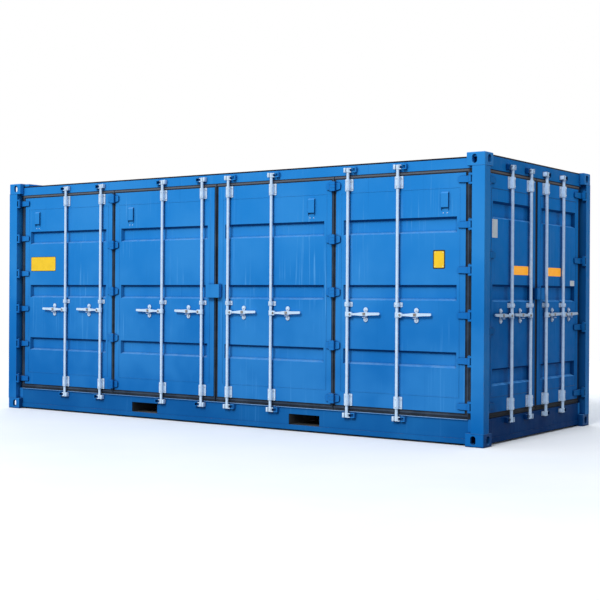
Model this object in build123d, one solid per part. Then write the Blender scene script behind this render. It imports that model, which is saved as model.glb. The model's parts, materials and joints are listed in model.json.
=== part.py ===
from build123d import *
from math import atan, degrees
import os

# A twenty-foot steel shipping container with folding doors along one side
# and a pair of swing doors at one end. Millimetres, +Z up, origin at the
# centre of the footprint on the ground. +X faces the end doors and -Y the
# side doors.
# Door hardware is drawn in a face frame: u runs along the face, d is the
# depth behind the outer plane of the corner castings, z is the height.

# Overall size
LENGTH = 6058.0
WIDTH = 2438.0
HEIGHT = 2591.0

# Corner castings
CASTING_X = 178.0
CASTING_Y = 162.0
CASTING_Z = 118.0
CASTING_OUTER_WALL = 28.0
CASTING_INNER_WALL = 10.0
CASTING_CHAMFER = 6.0
HOLE_FROM_END = 102.5
HOLE_FROM_SIDE = 89.5
HOLE_FROM_TOP = 59.0
SLOT_LENGTH = 124.0
SLOT_WIDTH = 63.5
FACE_HOLE_HEIGHT = 79.5
SIDE_HOLE_WIDTH = 51.0

# Corner posts
POST_SIDE_WIDTH = 125.0
POST_END_WIDTH = 105.0
POST_WALL = 6.0

# Doorway stops: the flanges that the door seals press against
STOP_DEPTH = 111.0
STOP_THICKNESS = 6.0
STOP_OVERLAP = 28.0

# Rails. Those around the doors are set back from the castings.
RAIL_FACE_DEPTH = 55.0
RAIL_WALL = 6.0
TOP_RAIL_DROP = 46.0
TOP_RAIL_HEIGHT = 88.0
REAR_HEADER_RISE = 30.0
BOTTOM_RAIL_BOTTOM = 18.0
BOTTOM_RAIL_BELOW_FLOOR = 75.0
RAIL_SKIRT_TOP = 63.0
RAIL_SKIRT_PROUD = 6.0
RAIL_LIP_HEIGHT = 10.0
RAIL_LIP_PROUD = 7.0
HEADER_SHELF_DEPTH = 215.0
PLAIN_RAIL_DEPTH = 8.0
PLAIN_TOP_RAIL_WIDTH = 60.0
PLAIN_RAIL_FLANGE = 50.0
PLAIN_RAIL_WALL = 5.0

# Sheet walls and roof
SHEET = 2.0
SIDE_WALL_PITCH = 278.0
SIDE_WALL_DEPTH = 36.0
SIDE_WALL_OUTER_FLAT = 72.0
SIDE_WALL_SLOPE = 68.0
FRONT_WALL_PITCH = 250.0
FRONT_WALL_DEPTH = 45.0
FRONT_WALL_OUTER_FLAT = 110.0
FRONT_WALL_SLOPE = 18.0
ROOF_PITCH = 209.0
ROOF_RISE = 20.0
ROOF_CREST = 91.0
ROOF_SLOPE = 13.5
ROOF_EDGE_DEPTH = 60.0
ROOF_END_CLEARANCE = 3.0
ROOF_BORDER = 165.0
ROOF_END_BORDER = 162.0
CORNER_PLATE_WIDTH = 240.0
CORNER_PLATE_THICKNESS = 6.0
FRONT_PLATE_LENGTH = 78.0
FRONT_PLATE_DROP = 4.0
REAR_PLATE_LENGTH = 162.0
REAR_PLATE_DROP = 34.0

# Floor and underframe
FLOOR_TOP = 310.0
FLOOR_THICKNESS = 28.0
FLOOR_EDGE_GAP = 3.0
CROSS_MEMBER_HEIGHT = 150.0
CROSS_MEMBER_FLANGE = 45.0
CROSS_MEMBER_WALL = 4.0
CROSS_MEMBER_PITCH = 305.0
CROSS_MEMBER_GAP = 40.0

# Fork pockets, a little towards the end doors
POCKET_CENTRE_OFFSET = 64.0
POCKET_SPACING = 2061.0
POCKET_WIDTH = 360.0
POCKET_BOTTOM = 65.0
POCKET_HEIGHT = 103.0
POCKET_WALL = 6.0
POCKET_STRAP = 200.0

# Door leaves
LEAF_FRONT_DEPTH = 55.0
LEAF_THICKNESS = 50.0
LEAF_BELOW_FLOOR = 23.0
LEAF_TOP_GAP = 37.0
LEAF_FRAME = 97.0
LEAF_FRAME_WALL = 4.0
LEAF_SHEET = 2.0
SIDE_LEAF_FROM_POST = 86.0
END_LEAF_FROM_POST = 79.0
LEAF_SEAM_HALF_GAP = 26.0
FOLD_HALF_GAP = 23.5
FOLD_LINE_SHIFT = 6.0

# Horizontal grooves pressed into each leaf: one in the middle, one towards each end
SIDE_GROOVE_HEIGHT = 142.0
SIDE_GROOVE_FROM_BOTTOM = 466.0
SIDE_GROOVE_FROM_TOP = 457.0
END_GROOVE_HEIGHT = 155.0
END_GROOVE_FROM_BOTTOM = 313.0
END_GROOVE_FROM_TOP = 320.0
GROOVE_DEPTH = 34.0
GROOVE_DRAFT = 28.0
GROOVE_END_MARGIN = 87.0

# Rubber seals
SEAL_DEPTH = 42.0
SEAL_SETBACK = 6.0
SEAL_LIP = 8.0
SEAL_SWING_GAP = 5.5
FOLD_SLIT = 6.0

# Hinges
PIN_DEPTH = 18.0
PIN_RADIUS = 8.0
PIN_CLEARANCE = 0.2
KNUCKLE_RADIUS = 17.0
HINGE_HEIGHT = 98.0
HINGE_EAR = 18.0
HINGE_EAR_GAP = 0.5
HINGE_BLADE = 12.0
SIDE_PIN_FROM_POST = 24.0
SIDE_SEAL_FROM_POST = 34.0
END_PIN_FROM_POST = 20.0
SIDE_BLADE_ON_LEAF = 52.0
END_BLADE_ON_LEAF = 120.0
FOLD_BLADE_ON_LEAF = 78.0
BLADE_TIP_HEIGHT = 36.0
HINGE_FROM_LEAF_END = 60.0
SIDE_HINGE_COUNT = 6
FOLD_HINGE_COUNT = 5
END_HINGE_FROM_MIDDLE = 338.0

# Small round parts that repeat have few sides
HINGE_SIDES = 8
CATCH_SIDES = 12

# Lock rods
ROD_RADIUS = 17.0
ROD_DEPTH = 27.5
ROD_BELOW_RAIL_TOP = 59.0
ROD_ABOVE_RAIL_BOTTOM = 67.0
SIDE_ROD_FROM_SEAM = 170.0
SIDE_ROD_FROM_FOLD = 172.0
SIDE_ROD_SPACING = 539.0
END_ROD_FROM_SEAM = 181.0
CAM_HEIGHT = 44.0
CAM_REACH = 38.0
CAM_THICKNESS = 18.0
CAM_NOSE = 5.0

# Keepers for the rod cams
KEEPER_HEIGHT = 46.0
KEEPER_CHEEK = 14.0
KEEPER_BLOCK = 42.0
KEEPER_WALL = 8.0
KEEPER_ROD_GAP = 11.0
KEEPER_CAM_GAP = 6.5
KEEPER_CHEEK_FRONT = 12.0
KEEPER_BLOCK_FRONT = 22.0

# Rod brackets
BRACKET_HALF_WIDTH = 49.0
BRACKET_PLATE = 5.0
BRACKET_HEIGHT = 113.0
GUIDE_ABOVE_HANDLE = 72.0
GUIDE_HEIGHT = 44.0
CLAMP_HALF_WIDTH = 26.0
CLAMP_WALL = 4.0
CLAMP_CLEARANCE = 0.4
CLAMP_CHAMFER = 5.0
CLAMP_INSET = 3.0

# Handles and their catches
HANDLE_HEIGHT = 1148.0
HUB_HEIGHT = 50.0
HUB_LENGTH = 57.0
HUB_THICKNESS = 24.0
HANDLE_TIP_GAP = 57.0
HANDLE_EDGE_GAP = 85.0
HANDLE_ROOT = 34.0
HANDLE_TIP = 25.0
HANDLE_TIP_CHAMFER = 6.0
HANDLE_RISE = 8.0
HANDLE_THICKNESS = 10.0
BOSS_HALF_WIDTH = 14.0
BOSS_PROUD = 4.0
CATCH_FROM_ROD = 190.0
CATCH_LOBE_RADIUS = 23.0
CATCH_WAIST = 28.0
CATCH_BELOW_HANDLE = 70.0
CATCH_ABOVE_HANDLE = 67.0
CATCH_SHELF_GAP = 6.0
CATCH_SHELF_WIDTH = 30.0
CATCH_SHELF_FRONT = 10.0

# Vents and lock boxes
VENT_WIDTH = 73.0
VENT_HEIGHT = 175.0
VENT_FROM_LEAF_TOP = 160.0
VENT_PROUD = 16.0
VENT_FOOT = 36.0
VENT_WALL = 2.5
VENT_FROM_LEAF_EDGE = 205.0
VENT_FROM_FOLD = 255.0
LOCK_BOX_BOTTOM = 1297.0
LOCK_BOX_FRONT = 6.0
LOCK_BOX_WALL = 5.0
SIDE_LOCK_BOX_HEIGHT = 132.0
SIDE_LOCK_BOX_LEFT = 95.0
SIDE_LOCK_BOX_RIGHT = 75.0
END_LOCK_BOX_HEIGHT = 108.0
END_LOCK_BOX_HALF_WIDTH = 79.0

# Values that follow from the sizes above
HALF_LENGTH = LENGTH / 2
HALF_WIDTH = WIDTH / 2
CASTING_INNER_X = HALF_LENGTH - CASTING_X
CASTING_INNER_Y = HALF_WIDTH - CASTING_Y
POST_INNER_X = HALF_LENGTH - POST_SIDE_WIDTH
POST_INNER_Y = HALF_WIDTH - POST_END_WIDTH
POST_BOTTOM = CASTING_Z
POST_TOP = HEIGHT - CASTING_Z
TOP_RAIL_TOP = HEIGHT - TOP_RAIL_DROP
TOP_RAIL_BOTTOM = TOP_RAIL_TOP - TOP_RAIL_HEIGHT
REAR_HEADER_TOP = TOP_RAIL_TOP + REAR_HEADER_RISE
BOTTOM_RAIL_TOP = FLOOR_TOP - BOTTOM_RAIL_BELOW_FLOOR
STOP_BACK = STOP_DEPTH + STOP_THICKNESS
FLOOR_BOTTOM = FLOOR_TOP - FLOOR_THICKNESS
PLAIN_RAIL_BACK = PLAIN_RAIL_DEPTH + PLAIN_RAIL_FLANGE
PLAIN_WALL_DEPTH = PLAIN_RAIL_DEPTH + PLAIN_RAIL_WALL
FRONT_SILL_BACK = POST_SIDE_WIDTH - POST_WALL

LEAF_BOTTOM = FLOOR_TOP - LEAF_BELOW_FLOOR
LEAF_TOP = TOP_RAIL_BOTTOM - LEAF_TOP_GAP
LEAF_MIDDLE = (LEAF_BOTTOM + LEAF_TOP) / 2
LEAF_BACK_DEPTH = LEAF_FRONT_DEPTH + LEAF_THICKNESS
SIDE_LEAF_EDGE = POST_INNER_X - SIDE_LEAF_FROM_POST
END_LEAF_EDGE = POST_INNER_Y - END_LEAF_FROM_POST
SIDE_FOLD_LINE = (SIDE_LEAF_EDGE + LEAF_SEAM_HALF_GAP) / 2 + FOLD_LINE_SHIFT
SIDE_STOP_EDGE = SIDE_LEAF_EDGE - STOP_OVERLAP
END_STOP_EDGE = END_LEAF_EDGE - STOP_OVERLAP
HEADER_STOP_BOTTOM = LEAF_TOP - STOP_OVERLAP
SIDE_GROOVES = (LEAF_BOTTOM + SIDE_GROOVE_FROM_BOTTOM, LEAF_MIDDLE, LEAF_TOP - SIDE_GROOVE_FROM_TOP)
END_GROOVES = (LEAF_BOTTOM + END_GROOVE_FROM_BOTTOM, LEAF_MIDDLE, LEAF_TOP - END_GROOVE_FROM_TOP)

SIDE_PIN = POST_INNER_X - SIDE_PIN_FROM_POST
END_PIN = POST_INNER_Y - END_PIN_FROM_POST
BLADE_FRONT = LEAF_FRONT_DEPTH - HINGE_BLADE
LOWEST_HINGE = LEAF_BOTTOM + HINGE_FROM_LEAF_END
HIGHEST_HINGE = LEAF_TOP - HINGE_FROM_LEAF_END
END_HINGE_HEIGHTS = (LOWEST_HINGE, LEAF_MIDDLE - END_HINGE_FROM_MIDDLE, LEAF_MIDDLE + END_HINGE_FROM_MIDDLE,
                     HIGHEST_HINGE)

ROD_BOTTOM = BOTTOM_RAIL_TOP - ROD_BELOW_RAIL_TOP
ROD_TOP = TOP_RAIL_BOTTOM + ROD_ABOVE_RAIL_BOTTOM
END_ROD_SPACING = (END_LEAF_EDGE - END_ROD_FROM_SEAM + HANDLE_TIP_GAP - HANDLE_EDGE_GAP) / 2
HANDLE_REACH = END_ROD_SPACING - HANDLE_TIP_GAP
SIDE_ROD_PLACES = (SIDE_ROD_FROM_SEAM, SIDE_ROD_FROM_SEAM + SIDE_ROD_SPACING,
                   SIDE_FOLD_LINE + SIDE_ROD_FROM_FOLD, SIDE_FOLD_LINE + SIDE_ROD_FROM_FOLD + SIDE_ROD_SPACING)
END_ROD_PLACES = (END_ROD_FROM_SEAM, END_ROD_FROM_SEAM + END_ROD_SPACING)
SIDE_RODS = [(-place, -1) for place in reversed(SIDE_ROD_PLACES)] + [(place, 1) for place in SIDE_ROD_PLACES]
END_RODS = [(-place, -1) for place in reversed(END_ROD_PLACES)] + [(place, 1) for place in END_ROD_PLACES]
PLATE_FRONT = LEAF_FRONT_DEPTH - BRACKET_PLATE
HUB_FRONT = ROD_DEPTH - ROD_RADIUS
HANDLE_DEPTH = HUB_FRONT + HUB_THICKNESS / 2
GUIDE_BOTTOM = HANDLE_HEIGHT + GUIDE_ABOVE_HANDLE
CATCH_BOTTOM = HANDLE_HEIGHT - CATCH_BELOW_HANDLE
CATCH_TOP = HANDLE_HEIGHT + CATCH_ABOVE_HANDLE

VENT_TOP = LEAF_TOP - VENT_FROM_LEAF_TOP
VENT_BOTTOM = VENT_TOP - VENT_HEIGHT
VENT_PLACES = (SIDE_LEAF_EDGE - VENT_FROM_LEAF_EDGE, SIDE_FOLD_LINE - VENT_FROM_FOLD)
POCKET_CENTRES = (POCKET_CENTRE_OFFSET - POCKET_SPACING / 2, POCKET_CENTRE_OFFSET + POCKET_SPACING / 2)

# Places of the door faces: the side face and the end face
SIDE_FACE = Location((0, -HALF_WIDTH, 0))
END_FACE = Location((HALF_LENGTH, 0, 0), (0, 0, 90))
FRONT_FACE = Location((-HALF_LENGTH, 0, 0), (0, 0, -90))
FAR_FACE = Location((0, HALF_WIDTH, 0), (0, 0, 180))


# Basic shapes in the face frame

def block(u_range, d_range, z_range):
    """A rectangular block between two values on each axis."""
    size = [abs(high - low) for low, high in (u_range, d_range, z_range)]
    centre = [(low + high) / 2 for low, high in (u_range, d_range, z_range)]
    return Pos(*centre) * Box(*size)


def disc(u, d, z_range, radius):
    """An upright cylinder."""
    height = z_range[1] - z_range[0]
    return Pos(u, d, (z_range[0] + z_range[1]) / 2) * Cylinder(radius, height)


def outline(points):
    """A filled outline that faces up, whichever way round its points run."""
    turn = sum(a[0] * b[1] - b[0] * a[1] for a, b in zip(points, points[1:] + points[:1]))
    return Polygon(*(points if turn > 0 else points[::-1]), align=None)


def prism(points, z_range):
    """A plan outline of (u, d) points drawn up between two heights."""
    return Pos(0, 0, z_range[0]) * extrude(outline(points), z_range[1] - z_range[0])


def bar(points, u_range):
    """A section of (d, z) points run along the face."""
    face = Plane.YZ.offset(u_range[0]) * Polygon(*points, align=None)
    return extrude(face, u_range[1] - u_range[0])


def facing(sketch, front, back):
    """A sketch of (u, z) on a plane parallel to the face, filled between two depths."""
    plane = Plane(origin=(0, back, 0), x_dir=(1, 0, 0), z_dir=(0, -1, 0))
    return plane * extrude(sketch, back - front)


def hinge_round(u, d, z_range, radius, bore=False):
    """An upright round of a hinge in few sides; a bore has its sides, not its corners, at the radius."""
    section = RegularPolygon(radius, HINGE_SIDES, major_radius=not bore)
    return Pos(u, d, z_range[0]) * extrude(section, z_range[1] - z_range[0])


def save(node, shapes):
    """Write the solids of one node to its own STEP file."""
    solids = [solid for shape in shapes for solid in shape.solids()]
    export_step(Compound(children=solids), f"parts/{node}.step")


# Corner castings

def casting(sign_x, sign_y, top):
    """One hollow corner casting with its slot and its two face holes."""
    outer = Box(CASTING_X, CASTING_Y, CASTING_Z)
    corner = outer.edges().sort_by(lambda edge: edge.center().X + edge.center().Y + edge.center().Z)
    outer = chamfer(corner[-3:], CASTING_CHAMFER)
    walls = CASTING_OUTER_WALL + CASTING_INNER_WALL
    shift = (CASTING_INNER_WALL - CASTING_OUTER_WALL) / 2
    cavity = Pos(shift, shift, shift) * Box(CASTING_X - walls, CASTING_Y - walls, CASTING_Z - walls)
    hole_x = CASTING_X / 2 - HOLE_FROM_END
    hole_y = CASTING_Y / 2 - HOLE_FROM_SIDE
    hole_z = CASTING_Z / 2 - HOLE_FROM_TOP
    slot = SlotOverall(SLOT_LENGTH, SLOT_WIDTH)
    side_hole = SlotOverall(FACE_HOLE_HEIGHT, SIDE_HOLE_WIDTH)
    end_hole = SlotOverall(FACE_HOLE_HEIGHT, SLOT_WIDTH)
    slot_cut = Pos(hole_x, hole_y, 0) * extrude(slot, CASTING_Z)
    side_plane = Plane(origin=(hole_x, 0, hole_z), x_dir=(0, 0, 1), z_dir=(0, 1, 0))
    end_plane = Plane(origin=(0, hole_y, hole_z), x_dir=(0, 0, 1), z_dir=(1, 0, 0))
    side_cut = extrude(side_plane * side_hole, CASTING_Y)
    end_cut = extrude(end_plane * end_hole, CASTING_X)
    piece = outer - cavity - slot_cut - side_cut - end_cut
    if sign_x < 0:
        piece = mirror(piece, about=Plane.YZ)
    if sign_y < 0:
        piece = mirror(piece, about=Plane.XZ)
    if not top:
        piece = mirror(piece, about=Plane.XY)
    height = HEIGHT - CASTING_Z / 2 if top else CASTING_Z / 2
    x = sign_x * (HALF_LENGTH - CASTING_X / 2)
    y = sign_y * (HALF_WIDTH - CASTING_Y / 2)
    return Pos(x, y, height) * piece


def four_castings(top):
    """The castings at the four corners of one level."""
    return [casting(sx, sy, top) for sx in (-1, 1) for sy in (-1, 1)]


# Corner posts

def post(end_stop, side_stop):
    """A post in its corner: the first value runs from the end plane, the second from the side plane."""
    a, b, wall = POST_END_WIDTH, POST_SIDE_WIDTH, POST_WALL
    outer = prism([(0, 0), (b, 0), (b, a), (0, a)], (POST_BOTTOM, POST_TOP))
    hollow = [(wall, wall), (b - wall, wall), (b - wall, a - wall), (wall, a - wall)]
    inner = prism(hollow, (POST_BOTTOM, POST_TOP))
    shape = outer - inner
    stop_heights = (BOTTOM_RAIL_TOP, TOP_RAIL_BOTTOM)
    if side_stop:
        shape += block((b - wall, b), (a - wall, STOP_BACK), (POST_BOTTOM, POST_TOP))
        shape += block((b - wall, HALF_LENGTH - SIDE_STOP_EDGE), (STOP_DEPTH, STOP_BACK), stop_heights)
    if end_stop:
        shape += block((STOP_DEPTH, STOP_BACK), (a - wall, HALF_WIDTH - END_STOP_EDGE), stop_heights)
    return shape


def place_post(shape, sign_x, sign_y):
    """Place the corner drawing at one corner of the container."""
    placed = Pos(-HALF_LENGTH, -HALF_WIDTH, 0) * shape
    if sign_x > 0:
        placed = mirror(placed, about=Plane.YZ)
    if sign_y > 0:
        placed = mirror(placed, about=Plane.XZ)
    return placed


# Rails around the doors

def door_top_rail(casting_inner, stop_edge, top, shelf):
    """The hollow rail above a pair of doors, with its stop flange."""
    face, back, wall = RAIL_FACE_DEPTH, STOP_BACK, RAIL_WALL
    low = TOP_RAIL_BOTTOM
    u_range = (-casting_inner, casting_inner)
    rail = block(u_range, (face, back), (low, top))
    rail -= block(u_range, (face + wall, back - wall), (low + wall, top - wall))
    rail += block((-stop_edge, stop_edge), (STOP_DEPTH, STOP_BACK), (HEADER_STOP_BOTTOM, low + wall))
    if shelf:
        rail += block(u_range, (back - wall, HEADER_SHELF_DEPTH), (TOP_RAIL_TOP - wall, TOP_RAIL_TOP))
    return rail


def door_bottom_rail(casting_inner, stop_edge, pockets, lip):
    """The channel below a pair of doors, with its stop flange and, where asked, a drip lip along its top."""
    face, back, wall = RAIL_FACE_DEPTH, STOP_BACK, RAIL_WALL
    low, high = BOTTOM_RAIL_BOTTOM, BOTTOM_RAIL_TOP
    u_range = (-casting_inner, casting_inner)
    rail = block(u_range, (face, back), (low, high))
    rail -= block(u_range, (face + wall, back), (low + wall, high - wall))
    rail += block((-stop_edge, stop_edge), (STOP_DEPTH, STOP_BACK), (high - wall, FLOOR_TOP))
    rail += block(u_range, (face - RAIL_SKIRT_PROUD, face), (low, RAIL_SKIRT_TOP))
    if lip:
        rail += block(u_range, (face - RAIL_LIP_PROUD, face), (high - RAIL_LIP_HEIGHT, high))
    for centre in pockets:
        rail -= pocket_opening(centre)
    return rail


def rail_ends(casting_inner, post_inner, d_range, z_range, wall):
    """The two angle pieces that carry a rail on from a casting to its post."""
    pieces = []
    for sign in (-1, 1):
        span = sorted((sign * casting_inner, sign * post_inner))
        piece = block(span, d_range, z_range)
        piece -= block(span, (d_range[0] + wall, d_range[1]), (z_range[0], z_range[1] - wall))
        pieces.append(piece)
    return pieces


def pocket_opening(centre):
    """The hole of a fork pocket through everything in its way."""
    half = POCKET_WIDTH / 2
    z_range = (POCKET_BOTTOM, POCKET_BOTTOM + POCKET_HEIGHT)
    return block((centre - half, centre + half), (-WIDTH, WIDTH), z_range)


# Rails of the two plain faces

def plain_top_rail(casting_inner, shelf):
    """A hollow rail above a sheet wall."""
    near, far, wall = PLAIN_RAIL_DEPTH, PLAIN_RAIL_DEPTH + PLAIN_TOP_RAIL_WIDTH, PLAIN_RAIL_WALL
    low, high = POST_TOP, TOP_RAIL_TOP
    u_range = (-casting_inner, casting_inner)
    rail = block(u_range, (near, far), (low, high))
    rail -= block(u_range, (near + wall, far - wall), (low + wall, high - wall))
    if shelf:
        rail += block(u_range, (far - wall, HEADER_SHELF_DEPTH), (high - wall, high))
    return rail


def plain_bottom_rail(casting_inner, far, pockets):
    """A channel below a sheet wall, open to the inside, as high as the floor."""
    near, wall = PLAIN_RAIL_DEPTH, PLAIN_RAIL_WALL
    low, high = BOTTOM_RAIL_BOTTOM, FLOOR_TOP
    u_range = (-casting_inner, casting_inner)
    rail = block(u_range, (near, far), (low, high))
    rail -= block(u_range, (near + wall, far), (low + wall, high - wall))
    for centre in pockets:
        rail -= pocket_opening(centre)
    return rail


# Sheet walls and roof

def wave_points(half_span, pitch, outer_flat, slope, depth):
    """One side of a folded sheet: flats joined by slopes, centred on its span."""
    points = [(-half_span, 0.0)]
    count = int((2 * half_span - outer_flat) // pitch)
    start = -count * pitch / 2
    for index in range(count):
        left = start + index * pitch + outer_flat / 2
        right = start + (index + 1) * pitch - outer_flat / 2
        points += [(left, 0.0), (left + slope, depth), (right - slope, depth), (right, 0.0)]
    return points + [(half_span, 0.0)]


def folded_sheet(points):
    """The closed outline of a sheet of even thickness that follows the points."""
    return points + [(u, v + SHEET) for u, v in reversed(points)]


def sheet_wall(half_span, pitch, outer_flat, slope, depth, z_range):
    """An upright folded wall behind the plain rails."""
    outline = folded_sheet(wave_points(half_span, pitch, outer_flat, slope, depth))
    shifted = [(u, d + PLAIN_WALL_DEPTH) for u, d in outline]
    return prism(shifted, z_range)


def roof_crest(x, grow):
    """The drafted body of one pressed crest; grow adds the sheet around it."""
    reach = HALF_WIDTH - ROOF_EDGE_DEPTH - ROOF_BORDER
    base = Rectangle(ROOF_CREST + 2 * (ROOF_SLOPE + grow), 2 * (reach + grow))
    draft = degrees(atan(ROOF_SLOPE / ROOF_RISE))
    return Pos(x, 0, TOP_RAIL_TOP) * extrude(base, ROOF_RISE + grow, taper=draft)


def roof():
    """The roof sheet: pressed crests across the container inside a flat border."""
    half = CASTING_INNER_X - ROOF_END_CLEARANCE
    reach = HALF_WIDTH - ROOF_EDGE_DEPTH
    sheet = block((-half, half), (-reach, reach), (TOP_RAIL_TOP, TOP_RAIL_TOP + SHEET))
    count = int((2 * (half - ROOF_END_BORDER) - ROOF_CREST) // ROOF_PITCH) + 1
    places = [(index - (count - 1) / 2) * ROOF_PITCH for index in range(count)]
    outer = [roof_crest(x, SHEET) for x in places]
    inner = [roof_crest(x, 0.0) for x in places]
    return (sheet + outer) - inner


def corner_plate(sign_x, sign_y):
    """A guard plate on the roof beside a top casting, higher at the front end than at the doors."""
    length = FRONT_PLATE_LENGTH if sign_x < 0 else REAR_PLATE_LENGTH
    top = HEIGHT - (FRONT_PLATE_DROP if sign_x < 0 else REAR_PLATE_DROP)
    x = CASTING_INNER_X - ROOF_END_CLEARANCE - length / 2
    y = HALF_WIDTH - ROOF_EDGE_DEPTH - CORNER_PLATE_WIDTH / 2
    low = TOP_RAIL_TOP + SHEET
    wall = CORNER_PLATE_THICKNESS
    outer = Box(length, CORNER_PLATE_WIDTH, top - low)
    inner = Pos(0, 0, -wall) * Box(length - 2 * wall, CORNER_PLATE_WIDTH - 2 * wall, top - low)
    return Pos(sign_x * x, sign_y * y, (low + top) / 2) * (outer - inner)


# Floor and underframe

def floor_slab():
    """The plywood floor between the doorway stops and the walls."""
    half_x = POST_INNER_X - FLOOR_EDGE_GAP
    near_y = -HALF_WIDTH + STOP_BACK + FLOOR_EDGE_GAP
    far_y = HALF_WIDTH - PLAIN_RAIL_BACK - FLOOR_EDGE_GAP
    return block((-half_x, half_x), (near_y, far_y), (FLOOR_BOTTOM, FLOOR_TOP))


def cross_member(x):
    """A channel that carries the floor from rail to rail."""
    y_range = (-HALF_WIDTH + STOP_BACK, HALF_WIDTH - PLAIN_WALL_DEPTH)
    low = FLOOR_BOTTOM - CROSS_MEMBER_HEIGHT
    wall = CROSS_MEMBER_WALL
    outer = block((x, x + CROSS_MEMBER_FLANGE), y_range, (low, FLOOR_BOTTOM))
    inner = block((x + wall, x + CROSS_MEMBER_FLANGE), y_range, (low + wall, FLOOR_BOTTOM - wall))
    return outer - inner


def clear_of_pockets(x):
    """True where a cross member at x misses both fork pockets."""
    reach = POCKET_WIDTH / 2 + POCKET_WALL + CROSS_MEMBER_GAP + CROSS_MEMBER_FLANGE
    return all(abs(x + CROSS_MEMBER_FLANGE / 2 - centre) > reach for centre in POCKET_CENTRES)


def cross_members():
    """All the cross members between the front and the rear sill."""
    count = int((LENGTH - 2 * HEADER_SHELF_DEPTH) // CROSS_MEMBER_PITCH)
    start = -count * CROSS_MEMBER_PITCH / 2 - CROSS_MEMBER_FLANGE / 2
    places = [start + index * CROSS_MEMBER_PITCH for index in range(count + 1)]
    return [cross_member(x) for x in places if clear_of_pockets(x)]


def fork_pocket(centre):
    """A tunnel across the underframe: two sides, a roof and a strap at each mouth."""
    half = POCKET_WIDTH / 2
    near = -HALF_WIDTH + RAIL_FACE_DEPTH + RAIL_WALL
    far = HALF_WIDTH - PLAIN_WALL_DEPTH
    low = POCKET_BOTTOM - POCKET_WALL
    roof_low = POCKET_BOTTOM + POCKET_HEIGHT
    tunnel = block((centre - half, centre + half), (near, far), (roof_low, roof_low + POCKET_WALL))
    for side in (-1, 1):
        inner = centre + side * half
        outer = inner + side * POCKET_WALL
        span = (min(inner, outer), max(inner, outer))
        tunnel += block(span, (near, far), (low, BOTTOM_RAIL_TOP - RAIL_WALL))
        tunnel += block(span, (-HALF_WIDTH + STOP_BACK, far), (low, FLOOR_BOTTOM))
    for span in ((near, near + POCKET_STRAP), (far - POCKET_STRAP, far)):
        tunnel += block((centre - half, centre + half), span, (low, POCKET_BOTTOM))
    return tunnel


# Door leaves

def groove(u_range, height, width, grow):
    """The drafted body of one pressed groove; grow adds the sheet around it."""
    length = u_range[1] - u_range[0] + 2 * grow
    outline = Rectangle(length, width + 2 * grow)
    body = extrude(outline, GROOVE_DEPTH + grow, taper=GROOVE_DRAFT)
    centre = (u_range[0] + u_range[1]) / 2
    plane = Plane(origin=(centre, LEAF_FRONT_DEPTH, height), x_dir=(1, 0, 0), z_dir=(0, 1, 0))
    return plane * body


def leaf(u_range, groove_heights, groove_width):
    """A door leaf: channel frame and pressed front sheet in one welded piece."""
    front, back = LEAF_FRONT_DEPTH, LEAF_BACK_DEPTH
    wall, frame = LEAF_FRAME_WALL, LEAF_FRAME
    z_range = (LEAF_BOTTOM, LEAF_TOP)
    body = block(u_range, (front, back), z_range)
    body -= block((u_range[0] + wall, u_range[1] - wall), (front + LEAF_SHEET, back - wall),
                  (z_range[0] + wall, z_range[1] - wall))
    half_frame = frame / 2
    body -= block((u_range[0] + half_frame, u_range[1] - half_frame), (back - wall, back),
                  (z_range[0] + half_frame, z_range[1] - half_frame))
    span = (u_range[0] + GROOVE_END_MARGIN, u_range[1] - GROOVE_END_MARGIN)
    for height in groove_heights:
        body += groove(span, height, groove_width, LEAF_SHEET)
        body -= groove(span, height, groove_width, 0.0)
    return body


def seal(u_range, outer_u, outer_z):
    """The rubber ring around a leaf: a thick back and a thin front lip."""
    low = LEAF_FRONT_DEPTH + SEAL_SETBACK
    middle = low + SEAL_LIP
    high = low + SEAL_DEPTH
    hole = block(u_range, (0, LEAF_BACK_DEPTH), (LEAF_BOTTOM, LEAF_TOP))
    lip = block(outer_u, (low, middle), outer_z)
    inset_u = (outer_u[0] + SEAL_LIP, outer_u[1] - SEAL_LIP)
    inset_z = (outer_z[0] + SEAL_LIP, outer_z[1] - SEAL_LIP)
    return lip + block(inset_u, (middle, high), inset_z) - hole


def side_seals():
    """One ring for each folding leaf, with a slit at the seam and at each fold."""
    half_slit = FOLD_SLIT / 2
    inner = (SEAL_SWING_GAP, SIDE_FOLD_LINE - half_slit)
    outer = (SIDE_FOLD_LINE + half_slit, POST_INNER_X - SIDE_SEAL_FROM_POST)
    reaches = [(-high, -low) for low, high in (outer, inner)] + [inner, outer]
    heights = (BOTTOM_RAIL_TOP, TOP_RAIL_BOTTOM)
    return [seal(side_leaf_span(index), reach, heights) for index, reach in enumerate(reaches)]


def side_leaf_span(index):
    """The ends of one of the four side leaves."""
    inner = (LEAF_SEAM_HALF_GAP, SIDE_FOLD_LINE - FOLD_HALF_GAP)
    outer = (SIDE_FOLD_LINE + FOLD_HALF_GAP, SIDE_LEAF_EDGE)
    spans = [(-high, -low) for low, high in (outer, inner)] + [inner, outer]
    return spans[index]


def end_leaf_span(sign):
    """The ends of the near (-1) or the far (+1) end leaf."""
    return (-END_LEAF_EDGE, -LEAF_SEAM_HALF_GAP) if sign < 0 else (LEAF_SEAM_HALF_GAP, END_LEAF_EDGE)


# Hinges

def even_heights(count):
    """The heights of a row of hinges, evenly spaced along a leaf."""
    pitch = (HIGHEST_HINGE - LOWEST_HINGE) / (count - 1)
    return [LOWEST_HINGE + index * pitch for index in range(count)]


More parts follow.
